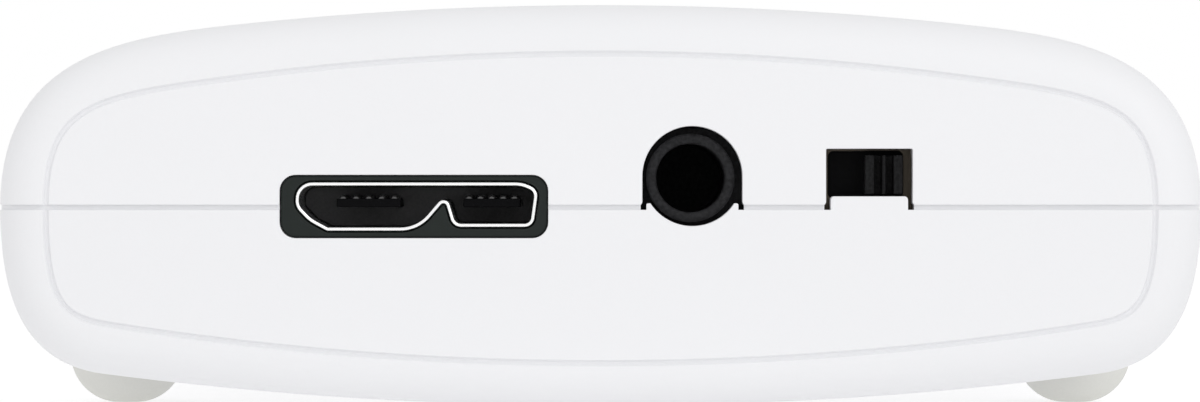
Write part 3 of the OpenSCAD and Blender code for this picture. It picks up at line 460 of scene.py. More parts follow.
def turned(profile, x, y, count=64):
    """A form turned about an upright axis, from a profile of (radius, height)."""
    return loft([flat_ring(circle(r, (x, y), count), z) for r, z in profile])


def bored(profile, x, z, count=64):
    """A form turned about an axis along Y, from a profile of (radius, depth)."""
    return loft([ring(circle(r, (x, z), count), y) for r, y in profile])


def block(low, high, edge=0.0):
    """A box between two corners, with rounded edges."""
    corners = [(low[0], high[2]), (high[0], high[2]), (high[0], low[2]), (low[0], low[2])]
    mesh = prism(corners, low[1], high[1])
    if edge:
        bmesh.ops.bevel(
            mesh, geom=mesh.edges[:], offset=edge * MM, segments=3, profile=0.5, affect="EDGES"
        )
    return mesh


def solid(name, *meshes):
    """An object made of one or more meshes, which are used up."""
    data = bpy.data.meshes.new(name)
    joined = bmesh.new()
    for mesh in meshes:
        mesh.to_mesh(data)
        joined.from_mesh(data)
        mesh.free()
    joined.to_mesh(data)
    joined.free()
    made = bpy.data.objects.new(name, data)
    bpy.context.scene.collection.objects.link(made)
    return made


def mesh_of(piece):
    """The mesh of a piece, which is used up."""
    mesh = bmesh.new()
    mesh.from_mesh(piece.data)
    bpy.data.objects.remove(piece)
    return mesh


def settle(piece):
    """Makes a piece's modifiers part of its mesh."""
    graph = bpy.context.evaluated_depsgraph_get()
    made = bpy.data.meshes.new_from_object(piece.evaluated_get(graph))
    piece.modifiers.clear()
    piece.data = made


def combine(piece, operation, *meshes):
    """Cuts meshes out of a piece, or joins them to it."""
    other = solid("cutter", *meshes)
    change = piece.modifiers.new("change", "BOOLEAN")
    change.operation = operation
    change.solver = "EXACT"
    change.object = other
    settle(piece)
    bpy.data.objects.remove(other)


def cut(piece, *meshes):
    combine(piece, "DIFFERENCE", *meshes)


def join(piece, *meshes):
    combine(piece, "UNION", *meshes)


def dress(piece, finish, nodes, body="case", angle=32.0):
    """Shades a finished piece, gives it its material and sets it on its body in place of the CAD nodes."""
    piece.data.polygons.foreach_set("use_smooth", [True] * len(piece.data.polygons))
    piece.data.set_sharp_from_angle(angle=math.radians(angle))
    even = piece.modifiers.new("even shading", "WEIGHTED_NORMAL")
    even.keep_sharp = True
    settle(piece)
    piece.data.materials.clear()
    piece.data.materials.append(finish)
    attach(piece, body)
    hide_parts(*nodes)


# Materials
EVEN = (1, 1, 1)
BRUSHED = (1, 12, 12)
DRAWN = (12, 1, 12)
TALL = (1, 1, 10)
CLOUDS = 60
CLOUD_SHARE = 0.4
NOISE_RANGE = (0.3, 0.7)
RELIEF_SHARE = 0.1
PLATING_GRAIN = 0.1


def noise(nodes, links, vector, scale):
    """A noise that runs from 0 to 1."""
    texture = nodes.new("ShaderNodeTexNoise")
    texture.inputs["Scale"].default_value = scale
    texture.inputs["Detail"].default_value = 4.0
    links.new(vector, texture.inputs["Vector"])
    spread = nodes.new("ShaderNodeMapRange")
    spread.inputs["From Min"].default_value = NOISE_RANGE[0]
    spread.inputs["From Max"].default_value = NOISE_RANGE[1]
    links.new(texture.outputs["Fac"], spread.inputs["Value"])
    return spread.outputs["Result"]


def material(
    name, colour, roughness, grain,
    vary=0.05, spark=0.0, uneven=0.07, bump=0.1, stretch=EVEN, specular=0.5, metal=0.0, clear=0.0,
):
    """A surface with a fine grain, in millimetres, and broad clouds. spark lightens the grain's peaks."""
    made = bpy.data.materials.new(name)
    made.use_nodes = True
    nodes = made.node_tree.nodes
    links = made.node_tree.links
    shader = nodes["Principled BSDF"]
    shader.inputs["Specular IOR Level"].default_value = specular
    shader.inputs["Metallic"].default_value = metal
    shader.inputs["Transmission Weight"].default_value = clear
    place = nodes.new("ShaderNodeTexCoord")
    scale = nodes.new("ShaderNodeMapping")
    scale.inputs["Scale"].default_value = stretch
    links.new(place.outputs["Object"], scale.inputs["Vector"])
    fine = noise(nodes, links, scale.outputs["Vector"], 1 / (grain * MM))
    broad = noise(nodes, links, place.outputs["Object"], 1 / (CLOUDS * grain * MM))
    both = nodes.new("ShaderNodeMix")
    both.inputs["Factor"].default_value = CLOUD_SHARE
    links.new(fine, both.inputs["A"])
    links.new(broad, both.inputs["B"])
    tint = nodes.new("ShaderNodeMix")
    tint.data_type = "RGBA"
    tint.inputs["A"].default_value = [min(1.0, c * (1 - vary)) for c in colour] + [1.0]
    tint.inputs["B"].default_value = [min(1.0, c * (1 + vary + spark)) for c in colour] + [1.0]
    links.new(both.outputs["Result"], tint.inputs["Factor"])
    links.new(tint.outputs["Result"], shader.inputs["Base Color"])
    gloss = nodes.new("ShaderNodeMapRange")
    gloss.inputs["To Min"].default_value = max(0.02, roughness - uneven)
    gloss.inputs["To Max"].default_value = min(1.0, roughness + uneven)
    links.new(both.outputs["Result"], gloss.inputs["Value"])
    links.new(gloss.outputs["Result"], shader.inputs["Roughness"])
    relief = nodes.new("ShaderNodeBump")
    relief.inputs["Strength"].default_value = bump
    relief.inputs["Distance"].default_value = RELIEF_SHARE * grain * MM
    links.new(fine, relief.inputs["Height"])
    links.new(relief.outputs["Normal"], shader.inputs["Normal"])
    return made


def moulded(name, colour, roughness, grain=0.12, vary=0.05, bump=0.1, specular=0.35, spark=0.0):
    return material(name, colour, roughness, grain, vary=vary, spark=spark, bump=bump, specular=specular)


def plated(name, colour, roughness, stretch=BRUSHED, vary=0.05, bump=0.06):
    return material(name, colour, roughness, PLATING_GRAIN, vary=vary, bump=bump, stretch=stretch, metal=1.0)


WHITE_UPPER = moulded("satin white, upper", (0.885, 0.887, 0.905), 0.42, vary=0.006, bump=0.05)
WHITE_LOWER = moulded("satin white, lower", (0.875, 0.877, 0.895), 0.44, vary=0.006, bump=0.05)
RUBBER = moulded("warm white rubber", (0.775, 0.775, 0.74), 0.6, 0.15, vary=0.02, bump=0.15, specular=0.25)
BEZEL = moulded("dark grey plastic", (0.017, 0.021, 0.0195), 0.6, 0.08, vary=0.1, bump=0.15, specular=0.15)
BACK_WALL = moulded("dark grey insulator", (0.07, 0.07, 0.072), 0.6, 0.1, vary=0.2, bump=0.4, specular=0.15)
# On the switch plate this black, plainer and darker than the knob's, is painted shade
BLACK = moulded("smooth black plastic", (0.0025, 0.0025, 0.003), 0.5, 0.1, vary=0.2, bump=0.2, specular=0.05)
JACK = moulded("black jack plastic", (0.004, 0.004, 0.0043), 0.5, 0.2, bump=0.8, specular=0.09, spark=7.0)
KNOB = moulded("black ribbed plastic", (0.002, 0.002, 0.0021), 0.5, 0.16, bump=0.8, specular=0.05, spark=9.0)
INSULATOR = moulded("moulded white", (0.86, 0.85, 0.81), 0.5, vary=0.02)
CHIP = moulded("moulded chip", (0.015, 0.015, 0.017), 0.6, vary=0.2, bump=0.4)
FERRITE = moulded("moulded ferrite", (0.05, 0.05, 0.055), 0.7, 0.2, vary=0.2, bump=0.4)
PAD = moulded("thermal pad", (0.28, 0.39, 0.48), 0.8, 0.3, vary=0.1, bump=0.4)
LED = moulded("led resin", (0.85, 0.82, 0.62), 0.3, 0.2, vary=0.04, bump=0.05)
BOARD = moulded("green solder mask", (0.02, 0.11, 0.05), 0.35, 0.4, vary=0.2, bump=0.25)
PHENOLIC = material("brown laminate", (0.17, 0.10, 0.05), 0.6, 0.2, vary=0.2, bump=0.15, stretch=TALL)
FROSTED = material("frosted clear plastic", (0.80, 0.84, 0.86), 0.35, 0.1, vary=0.03, bump=0.15, clear=0.5)
TIN = plated("bright tin plate", (0.93, 0.93, 0.93), 0.18, vary=0.02, bump=0.04)
# The contacts' plate is painted nearly black: painted shade for the dark socket mouth, deep inside which
# they sit
SHADED_CONTACT_PLATE = plated("contact plate with painted shade", (0.11, 0.11, 0.11), 0.5, vary=0.3, bump=0.2)
GOLD = plated("gold plate", (0.83, 0.62, 0.25), 0.25)
BRASS = plated("spring brass", (0.70, 0.55, 0.28), 0.3)
# The switch frame's steel is painted dark brownish grey: painted shade for the recess of the notch, where it
# sits
SHADED_FRAME_STEEL = plated("darkened steel", (0.07, 0.06, 0.048), 0.4, vary=0.3, bump=0.2)
POST = plated("plated post", (0.66, 0.67, 0.68), 0.24, DRAWN)
ALUMINIUM = plated("extruded aluminium", (0.60, 0.61, 0.63), 0.38, DRAWN, bump=0.15)
CAN = plated("drawn can", (0.62, 0.63, 0.64), 0.3, TALL)
STEEL = plated("zinc plated steel", (0.45, 0.46, 0.48), 0.35, TALL, bump=0.1)


# Case
THROUGH = WALL + OVER
PANEL_EDGE_R = 0.06
GROOVE_STEPS = 12
RIM_STEPS = 16


def plan(grow):
    """The case's outline in plan, at the seam."""
    return rounded(rectangle(CASE_W, CASE_L, MIDDLE), [RIM_R] * 4, grow, steps=16)


def groove_depth(share):
    """How deep the groove is across its width: a flat floor with soft sides."""
    slope = min(1.0, 3 * min(share, 1 - share))
    return GROOVE_D * (1 - math.cos(math.pi * slope)) / 2


def case_rings():
    """Rings of the whole case: the front panel, its groove, its rounded rim, and the same at the rear."""
    panel = panel_outline()
    outer = case_outline()
    end = []
    for i in range(GROOVE_STEPS + 1):
        share = i / GROOVE_STEPS
        end.append((groove_depth(share), panel_outline(GROOVE_LAND + GROOVE_W * (1 - share))))
    for gone, off in quarter_turn(RIM_STEPS):
        end.append((RIM_R * gone, [q + off * (p - q) for p, q in zip(panel, outer)]))
    front = [ring(outline, FRONT_Y + depth) for depth, outline in end]
    rear = [ring(outline, REAR_Y - depth) for depth, outline in reversed(end)]
    return front + rear


def seam_edge(side):
    """A cutter that rounds the outer edge of a half case along the seam."""
    base = SEAM_Z + side * HALF_GAP
    r = SEAM_TOP_EDGE_R if side > 0 else SEAM_LOW_EDGE_R
    profile = [(-OVER, -OVER), (r, -OVER)]
    profile += [(r * off, r * gone) for gone, off in quarter_turn(5)]
    profile.append((-OVER, r))
    return loft([flat_ring(plan(-inset), base + side * height) for inset, height in profile], closed=True)


def case_half(name, side, pillars):
    """One half of the case, hollow but for the pillars, with its edge along the seam rounded."""
    mesh = loft(case_rings())
    bmesh.ops.bisect_plane(
        mesh,
        geom=mesh.verts[:] + mesh.edges[:] + mesh.faces[:],
        plane_co=(0, 0, (SEAM_Z + side * HALF_GAP) * MM),
        plane_no=(0, 0, side),
        clear_inner=True,
    )
    bmesh.ops.holes_fill(mesh, edges=[e for e in mesh.edges if e.is_boundary])
    bmesh.ops.recalc_face_normals(mesh, faces=mesh.faces)
    half = solid(name, mesh)
    cut(half, seam_edge(side))
    hollow = solid("hollow", prism(case_outline(WALL), FRONT_IN, REAR_IN))
    cut(hollow, *pillars)
    cut(half, mesh_of(hollow))
    return half


def gate(x, half_w, top):
    """An opening in the upper panel that is open at the seam, where its sides flare."""
    edge = SEAM_Z + HALF_GAP
    wide = half_w + FLARE_W
    foot = [(wide, SEAM_Z - OVER), (wide, edge), (half_w + FLARE_W / 3, edge + FLARE_H / 2)]
    left = [(x - w, z) for w, z in foot]
    right = [(x + w, z) for w, z in reversed(foot)]
    return left + top + right


def jack_gate(grow):
    r = JACK_HOLE_R + grow
    foot = SEAM_Z + HALF_GAP + FLARE_H
    angles = [math.pi * (1 - i / GATE_STEPS) for i in range(GATE_STEPS + 1)]
    arch = [(ARCH_X + r * math.cos(a), ARCH_Z + r * math.sin(a)) for a in angles]
    return gate(ARCH_X, r, [(ARCH_X - r, foot)] + arch + [(ARCH_X + r, foot)])


def switch_gate(grow):
    half_w = NOTCH_W / 2 + grow
    foot = SEAM_Z + HALF_GAP + FLARE_H
    left = [Vector((NOTCH_X - half_w, z)) for z in (foot, NOTCH_TOP + grow)]
    right = [Vector((NOTCH_X + half_w, z)) for z in (foot, NOTCH_TOP + grow)]
    top = corner_arc(left[0], left[1], right[1], NOTCH_CORNER, 5)
    top += corner_arc(left[1], right[1], right[0], NOTCH_CORNER, 5)
    return gate(NOTCH_X, half_w, [left[0]] + top + [right[0]])


def jack_hole(grow):
    return circle(JACK_HOLE_R + grow, (ARCH_X, ARCH_Z), 96)


def dvi_hole(grow):
    return dvi_outline(DVI_HOLE_GAP + grow)


def front_opening(outline_of):
    return opening(outline_of, FRONT_Y, THROUGH, PANEL_EDGE_R)


def rear_openings():
    """The openings for the video socket's collar and its two posts."""
    made = [opening(dvi_hole, REAR_Y, -THROUGH, PANEL_EDGE_R)]
    r = POST_R + DVI_HOLE_GAP
    for x in (-POST_X, POST_X):
        made.append(opening(lambda grow: circle(r + grow, (x, DVI_Z)), REAR_Y, -THROUGH, PANEL_EDGE_R))
    return made


def upper_shell():
    bosses = [turned([(BOSS_R, BOARD_TOP), (BOSS_R, ROOF + OVER)], x, y) for x, y in FOOT_SPOTS]
    shell = case_half("case_upper", 1, bosses)
    pilot_r = SCREW_R + FIT / 2
    pilot = [(pilot_r, BOARD_TOP), (pilot_r, BOARD_TOP + SCREW_BITE + FIT)]
    hole_r = LIGHT_R + FIT
    light = [(hole_r, BOARD_TOP), (hole_r, ROOF - FIT), (hole_r + FIT, ROOF), (hole_r + FIT, ROOF + OVER)]
    cut(
        shell,
        front_opening(usb_opening),
        front_opening(jack_gate),
        front_opening(switch_gate),
        turned(light, 0, LIGHT_Y),
        *rear_openings(),
        *[turned(pilot, x, y) for x, y in FOOT_SPOTS],
    )
    dress(shell, WHITE_UPPER, ["upper_shell"])


def lip(place, start, end):
    """An L-shaped lip behind a wall. place gives a point from its run, its depth and its height."""
    low = SEAM_Z - 2 * LIP_H
    step = SEAM_Z - HALF_GAP
    high = SEAM_Z + LIP_H
    root = -WALL / 2 - FIT
    profile = [(LIP_T, low), (root, low), (root, step), (0.0, step), (0.0, high), (LIP_T, high)]
    return loft([[place(run, depth, z) for depth, z in profile] for run in (start, end)])


def lips():
    """Lips along both sides and along the free stretches of both end walls."""
    made = []
    ends = (FRONT_IN + FIT, REAR_IN - FIT)
    for side in (-1, 1):
        made.append(lip(lambda run, depth, z: (side * (LIP_OUT - depth), run, z), *ends))
    flange_half = FLANGE[0] / 2 + FIT
    bezel_half = USB_OPENING[0] / 2 + BEZEL_FLANGE + FIT
    jack_half = JACK_HALF_W + FIT
    frame_half = FRAME_W / 2 + FIT
    front = [
        (-LIP_IN, USB_X - bezel_half), (USB_X + bezel_half, JACK_X - jack_half),
        (JACK_X + jack_half, SWITCH_X - frame_half), (SWITCH_X + frame_half, LIP_IN),
    ]
    for start, end in front:
        made.append(lip(lambda run, depth, z: (run, FRONT_IN + FIT + depth, z), start, end))
    for start, end in [(-LIP_IN, -flange_half), (flange_half, LIP_IN)]:
        made.append(lip(lambda run, depth, z: (run, REAR_IN - FIT - depth, z), start, end))
    return made


def seam_ledge():
    """The band behind the gap of the seam."""
    inside = rounded(rectangle(CASE_W - 2 * WALL, CASE_L - 2 * WALL, MIDDLE), [LEAST_ROUND] * 4, 0, 16)
    outside = rounded(rectangle(CASE_W - 2 * SEAM_SIDE_D, CASE_L - 2 * SEAM_D, MIDDLE), [RIM_R] * 4, 0, 16)
    low = SEAM_Z - 2 * HALF_GAP
    high = SEAM_Z + HALF_GAP
    band = [(outside, low), (outside, high), (inside, high), (inside, low)]
    return loft([flat_ring(outline, z) for outline, z in band], closed=True)


def cradle_outline(grow):
    """The piece of the lower panel that rises under the jack."""
    height = CRADLE_RISE + OVER
    corners = rectangle(2 * CRADLE_HALF_W, height, (ARCH_X, SEAM_Z + CRADLE_RISE - height / 2))
    return rounded(corners, [CRADLE_CORNER] * 4, grow)


def tab_outline(grow):
    """The piece of the lower panel that rises under the switch."""
    height = TAB_TOP - SEAM_Z + OVER
    corners = rectangle(2 * TAB_HALF_W, height, (NOTCH_X, TAB_TOP - height / 2))
    return rounded(corners, [TAB_CORNER] * 4, grow)


def lower_shell():
    towers = [turned([(TOWER_R, -OVER), (TOWER_R, BOARD_Z)], x, y) for x, y in FOOT_SPOTS]
    shell = case_half("case_lower", -1, towers)
    join(shell, seam_ledge())
    for x, half_w in ((ARCH_X, JACK_HOLE_R + FLARE_W), (NOTCH_X, NOTCH_W / 2 + FLARE_W)):
        low = (x - half_w, FRONT_Y - OVER, SEAM_Z - HALF_GAP)
        cut(shell, block(low, (x + half_w, FRONT_IN + FIT / 2, SEAM_Z + OVER)))
    join(
        shell,
        softened(cradle_outline, FRONT_Y, WALL, PANEL_EDGE_R),
        softened(tab_outline, FRONT_Y, WALL, PANEL_EDGE_R),
        *lips(),
    )
    head_top = FOOT_SEAT + FIT + SCREW_HEAD_H
    pocket = [
        (FOOT_R + FIT, -OVER), (FOOT_R + FIT, FOOT_SEAT),
        (SCREW_HEAD_R + FIT, FOOT_SEAT), (SCREW_HEAD_R + FIT, head_top),
        (SCREW_R + FIT, head_top), (SCREW_R + FIT, BOARD_Z + OVER),
    ]
    cut(
        shell,
        front_opening(usb_opening),
        front_opening(jack_hole),
        *rear_openings(),
        *[turned(pocket, x, y) for x, y in FOOT_SPOTS],
    )
    dress(shell, WHITE_LOWER, ["lower_shell"])


def feet():
    """Four soft domes, each with a small flat to stand on."""
    dome_h = FOOT_SEAT - FOOT_RIM_H
    bulge = FOOT_R - FOOT_FLAT_R
    profile = [(LEAST_ROUND, 0.0)]
    profile += [(FOOT_R - bulge * off, dome_h * gone) for gone, off in quarter_turn(24)]
    profile += [(FOOT_R, FOOT_SEAT - FOOT_EDGE_R), (FOOT_R - FOOT_EDGE_R, FOOT_SEAT)]
    made = solid("feet", *[turned(profile, x, y) for x, y in FOOT_SPOTS])
    dress(made, RUBBER, ["rubber_feet"])


# USB socket
def usb_bezel():
    """Dark insert with a softened front edge and a flange behind the panel."""
    front = FRONT_Y + BEZEL_RECESS
    made = solid("usb_bezel_insert", softened(bezel_outline, front, WALL, BEZEL_EDGE_R))
    join(made, prism(usb_opening(BEZEL_FLANGE), FRONT_IN, FRONT_IN + BEZEL_FLANGE_T))
    cut(made, opening(usb_hole, front, THROUGH + BEZEL_FLANGE_T, PANEL_EDGE_R))
    dress(made, BEZEL, ["usb_bezel"])


def bezel_outline(grow):
    return usb_opening(grow - FIT / 2)


def usb_hole(grow):
    return usb_outline((USB_T + FIT) / 2 + grow)


def rolled(outline_of, back, face, thickness):
    """A tube of bent metal between two depths, with a rounded lip at its face."""
    r = thickness / 2
    way = math.copysign(1.0, face - back)
    rings = [ring(outline_of(r), back)]
    for i in range(LIP_STEPS + 1):
        a = math.pi * i / LIP_STEPS
        rings.append(ring(outline_of(r * math.cos(a)), face - way * r * (1 - math.sin(a))))
    rings.append(ring(outline_of(-r), back))
    return loft(rings, closed=True)


def usb_shell():
    """Bent metal mouth with a rounded lip, and four legs."""
    half_t = USB_T / 2
    legs = []
    for x in (USB_X + MOUTH_LEFT, USB_X + MOUTH_RIGHT):
        for y in USB_LEG_YS:
            high = (x + half_t, y + USB_LEG_L, USB_Z + USB_LEG_RISE)
            legs.append(block((x - half_t, y, BOARD_Z - TAIL_BELOW), high, USB_LEG_EDGE_R))
    made = solid("usb_mouth", rolled(usb_outline, USB_Y1, USB_Y0, USB_T), *legs)
    dress(made, TIN, ["usb_shell"])


def back_wall_outline(grow):
    return usb_outline(grow - USB_T / 2 - FIT / 4)


def usb_tongues():
    """Back wall and two darker tongues with softened edges."""
    back = USB_Y1 - USB_BACK_T
    top = USB_Z + TONGUE_Z + TONGUE_T / 2
    wall = solid("usb_insulator", softened(back_wall_outline, back, USB_BACK_T, FIT))
    dress(wall, BACK_WALL, ["usb_tongues"])
    tongues = []
    for x0, x1 in TONGUES:
        low = (USB_X + x0, USB_Y0 + TONGUE_RECESS, top - TONGUE_T)
        tongues.append(block(low, (USB_X + x1, back + FIT, top), TONGUE_EDGE_R))
    dress(solid("usb_tongue_pair", *tongues), BLACK, ["usb_tongues"])


def usb_contacts():
    """Springs with an arched section on both tongues, bent down to the board behind the socket."""
    low = USB_Z + TONGUE_Z + TONGUE_T / 2
    half_w = CONTACT_W / 2
    angles = [math.pi * (1 - i / 8) for i in range(9)]
    arch = [(half_w * math.cos(a), CONTACT_T * math.sin(a)) for a in angles]
    front = USB_Y0 + TONGUE_RECESS + FIT
    rear = USB_Y1 + CONTACT_T
    foot = USB_Y1 + CONTACT_FOOT_L
    tip_w, tip_h = CONTACT_TIP_SHARE
    meshes = []
    for x0, x1 in TONGUES:
        for i in range(CONTACT_COUNT):
            x = USB_X + x0 + (x1 - x0) * (i + 0.5) / CONTACT_COUNT
            full = [(x + u, low + v) for u, v in arch]
            tip = [(x + tip_w * u, low + tip_h * v) for u, v in arch]
            meshes.append(loft([ring(tip, front), ring(full, front + CONTACT_TIP_L), ring(full, rear)]))
            high = (x + half_w, rear, low)
            meshes.append(block((x - half_w, USB_Y1, BOARD_TOP), high, CONTACT_EDGE_R))
            high = (x + half_w, foot, BOARD_TOP + CONTACT_T)
            meshes.append(block((x - half_w, rear, BOARD_TOP), high, CONTACT_EDGE_R))
    # Their near-black plate is painted shade for the socket's dark mouth
    dress(solid("usb_springs", *meshes), SHADED_CONTACT_PLATE, ["usb_contacts"])


# Audio jack
def jack():
    """Body with a barrel whose ring is rounded into its bore, and windows for the springs."""
    low = (JACK_X - JACK_HALF_W, JACK_BODY_Y0, BOARD_TOP)
    high = (JACK_X + JACK_HALF_W, JACK_BODY_Y1, JACK_TOP)
    made = solid("audio_jack", block(low, high, JACK_EDGE_R))
    middle = (JACK_BARREL_R + JACK_BORE_R) / 2
    half_t = (JACK_BARREL_R - JACK_BORE_R) / 2
    lip_turn = [(half_t * (1 - off), JACK_Y0 + JACK_LIP_R * gone) for gone, off in quarter_turn(TURN_STEPS)]
    barrel = [(LEAST_ROUND, JACK_Y0)] + [(middle + w, y) for w, y in lip_turn]
    barrel.append((JACK_BARREL_R, JACK_BODY_Y0 + OVER / 2))
    join(made, bored(barrel, JACK_X, JACK_Z, 96))
    bore = [(middle + HAIR, JACK_Y0 - OVER)] + [(middle - w + HAIR, y) for w, y in lip_turn]
    bore.append((JACK_BORE_R, JACK_BODY_Y1 - JACK_BACK_T))
    cut(made, bored(bore, JACK_X, JACK_Z, 96))
    half_l, half_h = SPRING_WINDOW
    for side, setback in SPRING_SPOTS:
        ends = sorted((JACK_X + side * JACK_BORE_R / 2, JACK_X + side * 2 * JACK_HALF_W))
        y = JACK_BODY_Y0 + setback
        cut(made, block((ends[0], y - half_l, JACK_Z - half_h), (ends[1], y + half_l, JACK_Z + half_h)))
    dress(made, JACK, ["jack_body"])


# Slide switch
def switch_window(grow):
    return rounded(rectangle(*WINDOW, (SWITCH_X, KNOB_Z)), [WINDOW_CORNER] * 4, grow)


def switch_frame():
    """Folded metal frame with a round-cornered window and a leg at each end."""
    half = FRAME_W / 2
    top = BOARD_TOP + FRAME_H
    low = (SWITCH_X - half, FRAME_Y0, BOARD_TOP)
    made = solid("switch_housing", block(low, (SWITCH_X + half, FRAME_Y1, top), FRAME_EDGE_R))
    inner = half - FRAME_T
    low = (SWITCH_X - inner, FRAME_Y0 + FRAME_T, BOARD_TOP + FRAME_T)
    cut(made, block(low, (SWITCH_X + inner, FRAME_Y1 + OVER, top - FRAME_T)))
    cut(made, opening(switch_window, FRAME_Y0, OVER, WINDOW_EDGE_R))
    rear = FRAME_Y1 - FRAME_LEG_INSET
    legs = []
    for side in (-1, 1):
        x = SWITCH_X + side * (half - FRAME_T / 2)
        low = (x - FRAME_T / 2, rear - FRAME_LEG_L, BOARD_Z - TAIL_BELOW)
        legs.append(block(low, (x + FRAME_T / 2, rear, BOARD_TOP + FRAME_T), FRAME_LEG_EDGE_R))
    join(made, *legs)
    # Its dark colour is painted shade for the recess round the switch
    dress(made, SHADED_FRAME_STEEL, ["switch_frame"])


def knob_outline(grow):
    """Plan of the knob: three ribs at its face, with round edges."""
    half = KNOB_W / 2
    front = FRONT_Y + KNOB_RECESS
    floor_y = front + RIB_GROOVE_D
    corners = [(-half, SLIDER_Y1), (half, SLIDER_Y1), (half, front)]
    for middle in (RIB_GROOVE_X, -RIB_GROOVE_X):
        right = middle + RIB_GROOVE_W / 2
        left = middle - RIB_GROOVE_W / 2
        corners += [(right, front), (right, floor_y), (left, floor_y), (left, front)]
    corners.append((-half, front))
    groove = [RIB_EDGE_R, RIB_FOOT_R, RIB_FOOT_R, RIB_EDGE_R]
    rounds = [KNOB_BACK_R, KNOB_BACK_R, RIB_EDGE_R] + groove * 2 + [RIB_EDGE_R]
    return rounded([(KNOB_X + x, y) for x, y in corners], rounds, grow, steps=4)


def switch_knob():
    """Ribbed knob with softened ends, and the smooth plate that slides behind the frame."""
    turn = [(KNOB_H / 2 - KNOB_EDGE_R * gone, -KNOB_EDGE_R * off) for gone, off in quarter_turn(4)]
    rings = [flat_ring(knob_outline(grow), KNOB_Z - rise) for rise, grow in turn]
    rings += [flat_ring(knob_outline(grow), KNOB_Z + rise) for rise, grow in reversed(turn)]
    dress(solid("switch_button", loft(rings)), KNOB, ["switch_knob"], body="slider")
    # The plate is of the knob's moulding but gets a plainer, darker black: painted shade, deep behind the
    # frame's window
    low = (KNOB_X - SLIDER_W / 2, SLIDER_Y0, KNOB_Z - SLIDER_H / 2)
    high = (KNOB_X + SLIDER_W / 2, SLIDER_Y1, KNOB_Z + SLIDER_H / 2)
    plate = block(low, high, SLIDER_EDGE_R)
    dress(solid("switch_plate", plate), BLACK, ["switch_knob"], body="slider")


# Video socket
def collar_outline(grow):
    """The middle line of the collar's metal."""
    return dvi_outline(grow - DVI_T / 2)


def video_shell():
    """Metal collar with a rounded lip on a flange that is held by the two posts."""
    flange = rounded(rectangle(*FLANGE, (0, DVI_Z)), [FLANGE_ROUND] * 4)
    made = solid("video_collar", prism(flange, DVI_BACK, REAR_IN))
    holes = [dvi_outline(-DVI_T)] + [circle(STUD_R + FIT, (x, DVI_Z)) for x in (-POST_X, POST_X)]
    cut(made, *[prism(outline, DVI_BACK - OVER, REAR_IN + OVER) for outline in holes])
    join(made, rolled(collar_outline, DVI_BACK + FIT, DVI_FACE, DVI_T))
    dress(made, TIN, ["video_socket_shell"])


def pin_places():
    """Places of the square holes across the insulator's face."""
    places = []
    for row in (-1, 0, 1):
        for i in range(PIN_COLUMNS):
            places.append((PIN_FIELD - (i + 0.5) * PIN_PITCH, DVI_Z + row * PIN_PITCH))
    for row in (-ANALOG_ROW, ANALOG_ROW):
        for side in (-ANALOG_HALF_X, ANALOG_HALF_X):
            places.append((ANALOG_X + side, DVI_Z + row * PIN_PITCH))
    return places


def blade_outline(grow):
    """A cross for the broad ground blade."""
    w, h, t = BLADE_W / 2, BLADE_H / 2, BLADE_T / 2
    corners = [
        (-t, h), (t, h), (t, t), (w, t), (w, -t), (t, -t),
        (t, -h), (-t, -h), (-t, -t), (-w, -t), (-w, t), (-t, t),
    ]
    return rounded([(ANALOG_X + x, DVI_Z + z) for x, z in corners], [BLADE_CORNER] * 12, grow, steps=3)


def pin_hole(place):
    """The outline of a square hole at one place, as it grows."""
    return lambda grow: rounded(rectangle(HOLE_W, HOLE_W, place), [HOLE_CORNER] * 4, grow, 3)


def insulator_outline(grow):
    return dvi_outline(grow - DVI_T - FIT / 2)


def video_insulator():
    """White block whose face is full of holes with sunk mouths."""
    depth = DVI_BACK - INSULATOR_FACE
    made = solid("video_insulator", softened(insulator_outline, INSULATOR_FACE, depth, INSULATOR_EDGE_R))
    low = (-BLOCK_HALF_W, BLOCK_Y0, BOARD_TOP)
    join(made, block(low, (BLOCK_HALF_W, DVI_BACK + FIT, BLOCK_TOP), BLOCK_EDGE_R))
    outlines = [blade_outline] + [pin_hole(place) for place in pin_places()]
    cut(made, *[opening(outline, INSULATOR_FACE, -HOLE_L, HOLE_CORNER) for outline in outlines])
    dress(made, INSULATOR, ["video_socket_insulator"])


def posts():
    """Two hexagonal posts with chamfered ends and threaded holes."""
    shank = [(STUD_R, DVI_BACK - STUD_L), (STUD_R, REAR_IN + OVER)]
    head = [(POST_R, REAR_IN), (POST_R, POST_FACE - POST_CHAMFER), (POST_R - POST_CHAMFER, POST_FACE)]
    thread = [(POST_HOLE_R + POST_CHAMFER, POST_FACE + FIT)]
    for i in range(THREAD_TURNS):
        thread.append((POST_HOLE_R + THREAD_DEPTH * (i % 2), POST_FACE - THREAD_STEP * (i + 0.5)))
    thread.append((POST_HOLE_R, POST_FACE - POST_HOLE_L))
    meshes = []
    for x in (-POST_X, POST_X):
        made = solid("post", bored(head, x, DVI_Z, 6))
        join(made, bored(shank, x, DVI_Z))
        cut(made, bored(thread, x, DVI_Z, 48))
        meshes.append(mesh_of(made))
    dress(solid("thumbscrew_posts", *meshes), POST, ["jack_posts"])


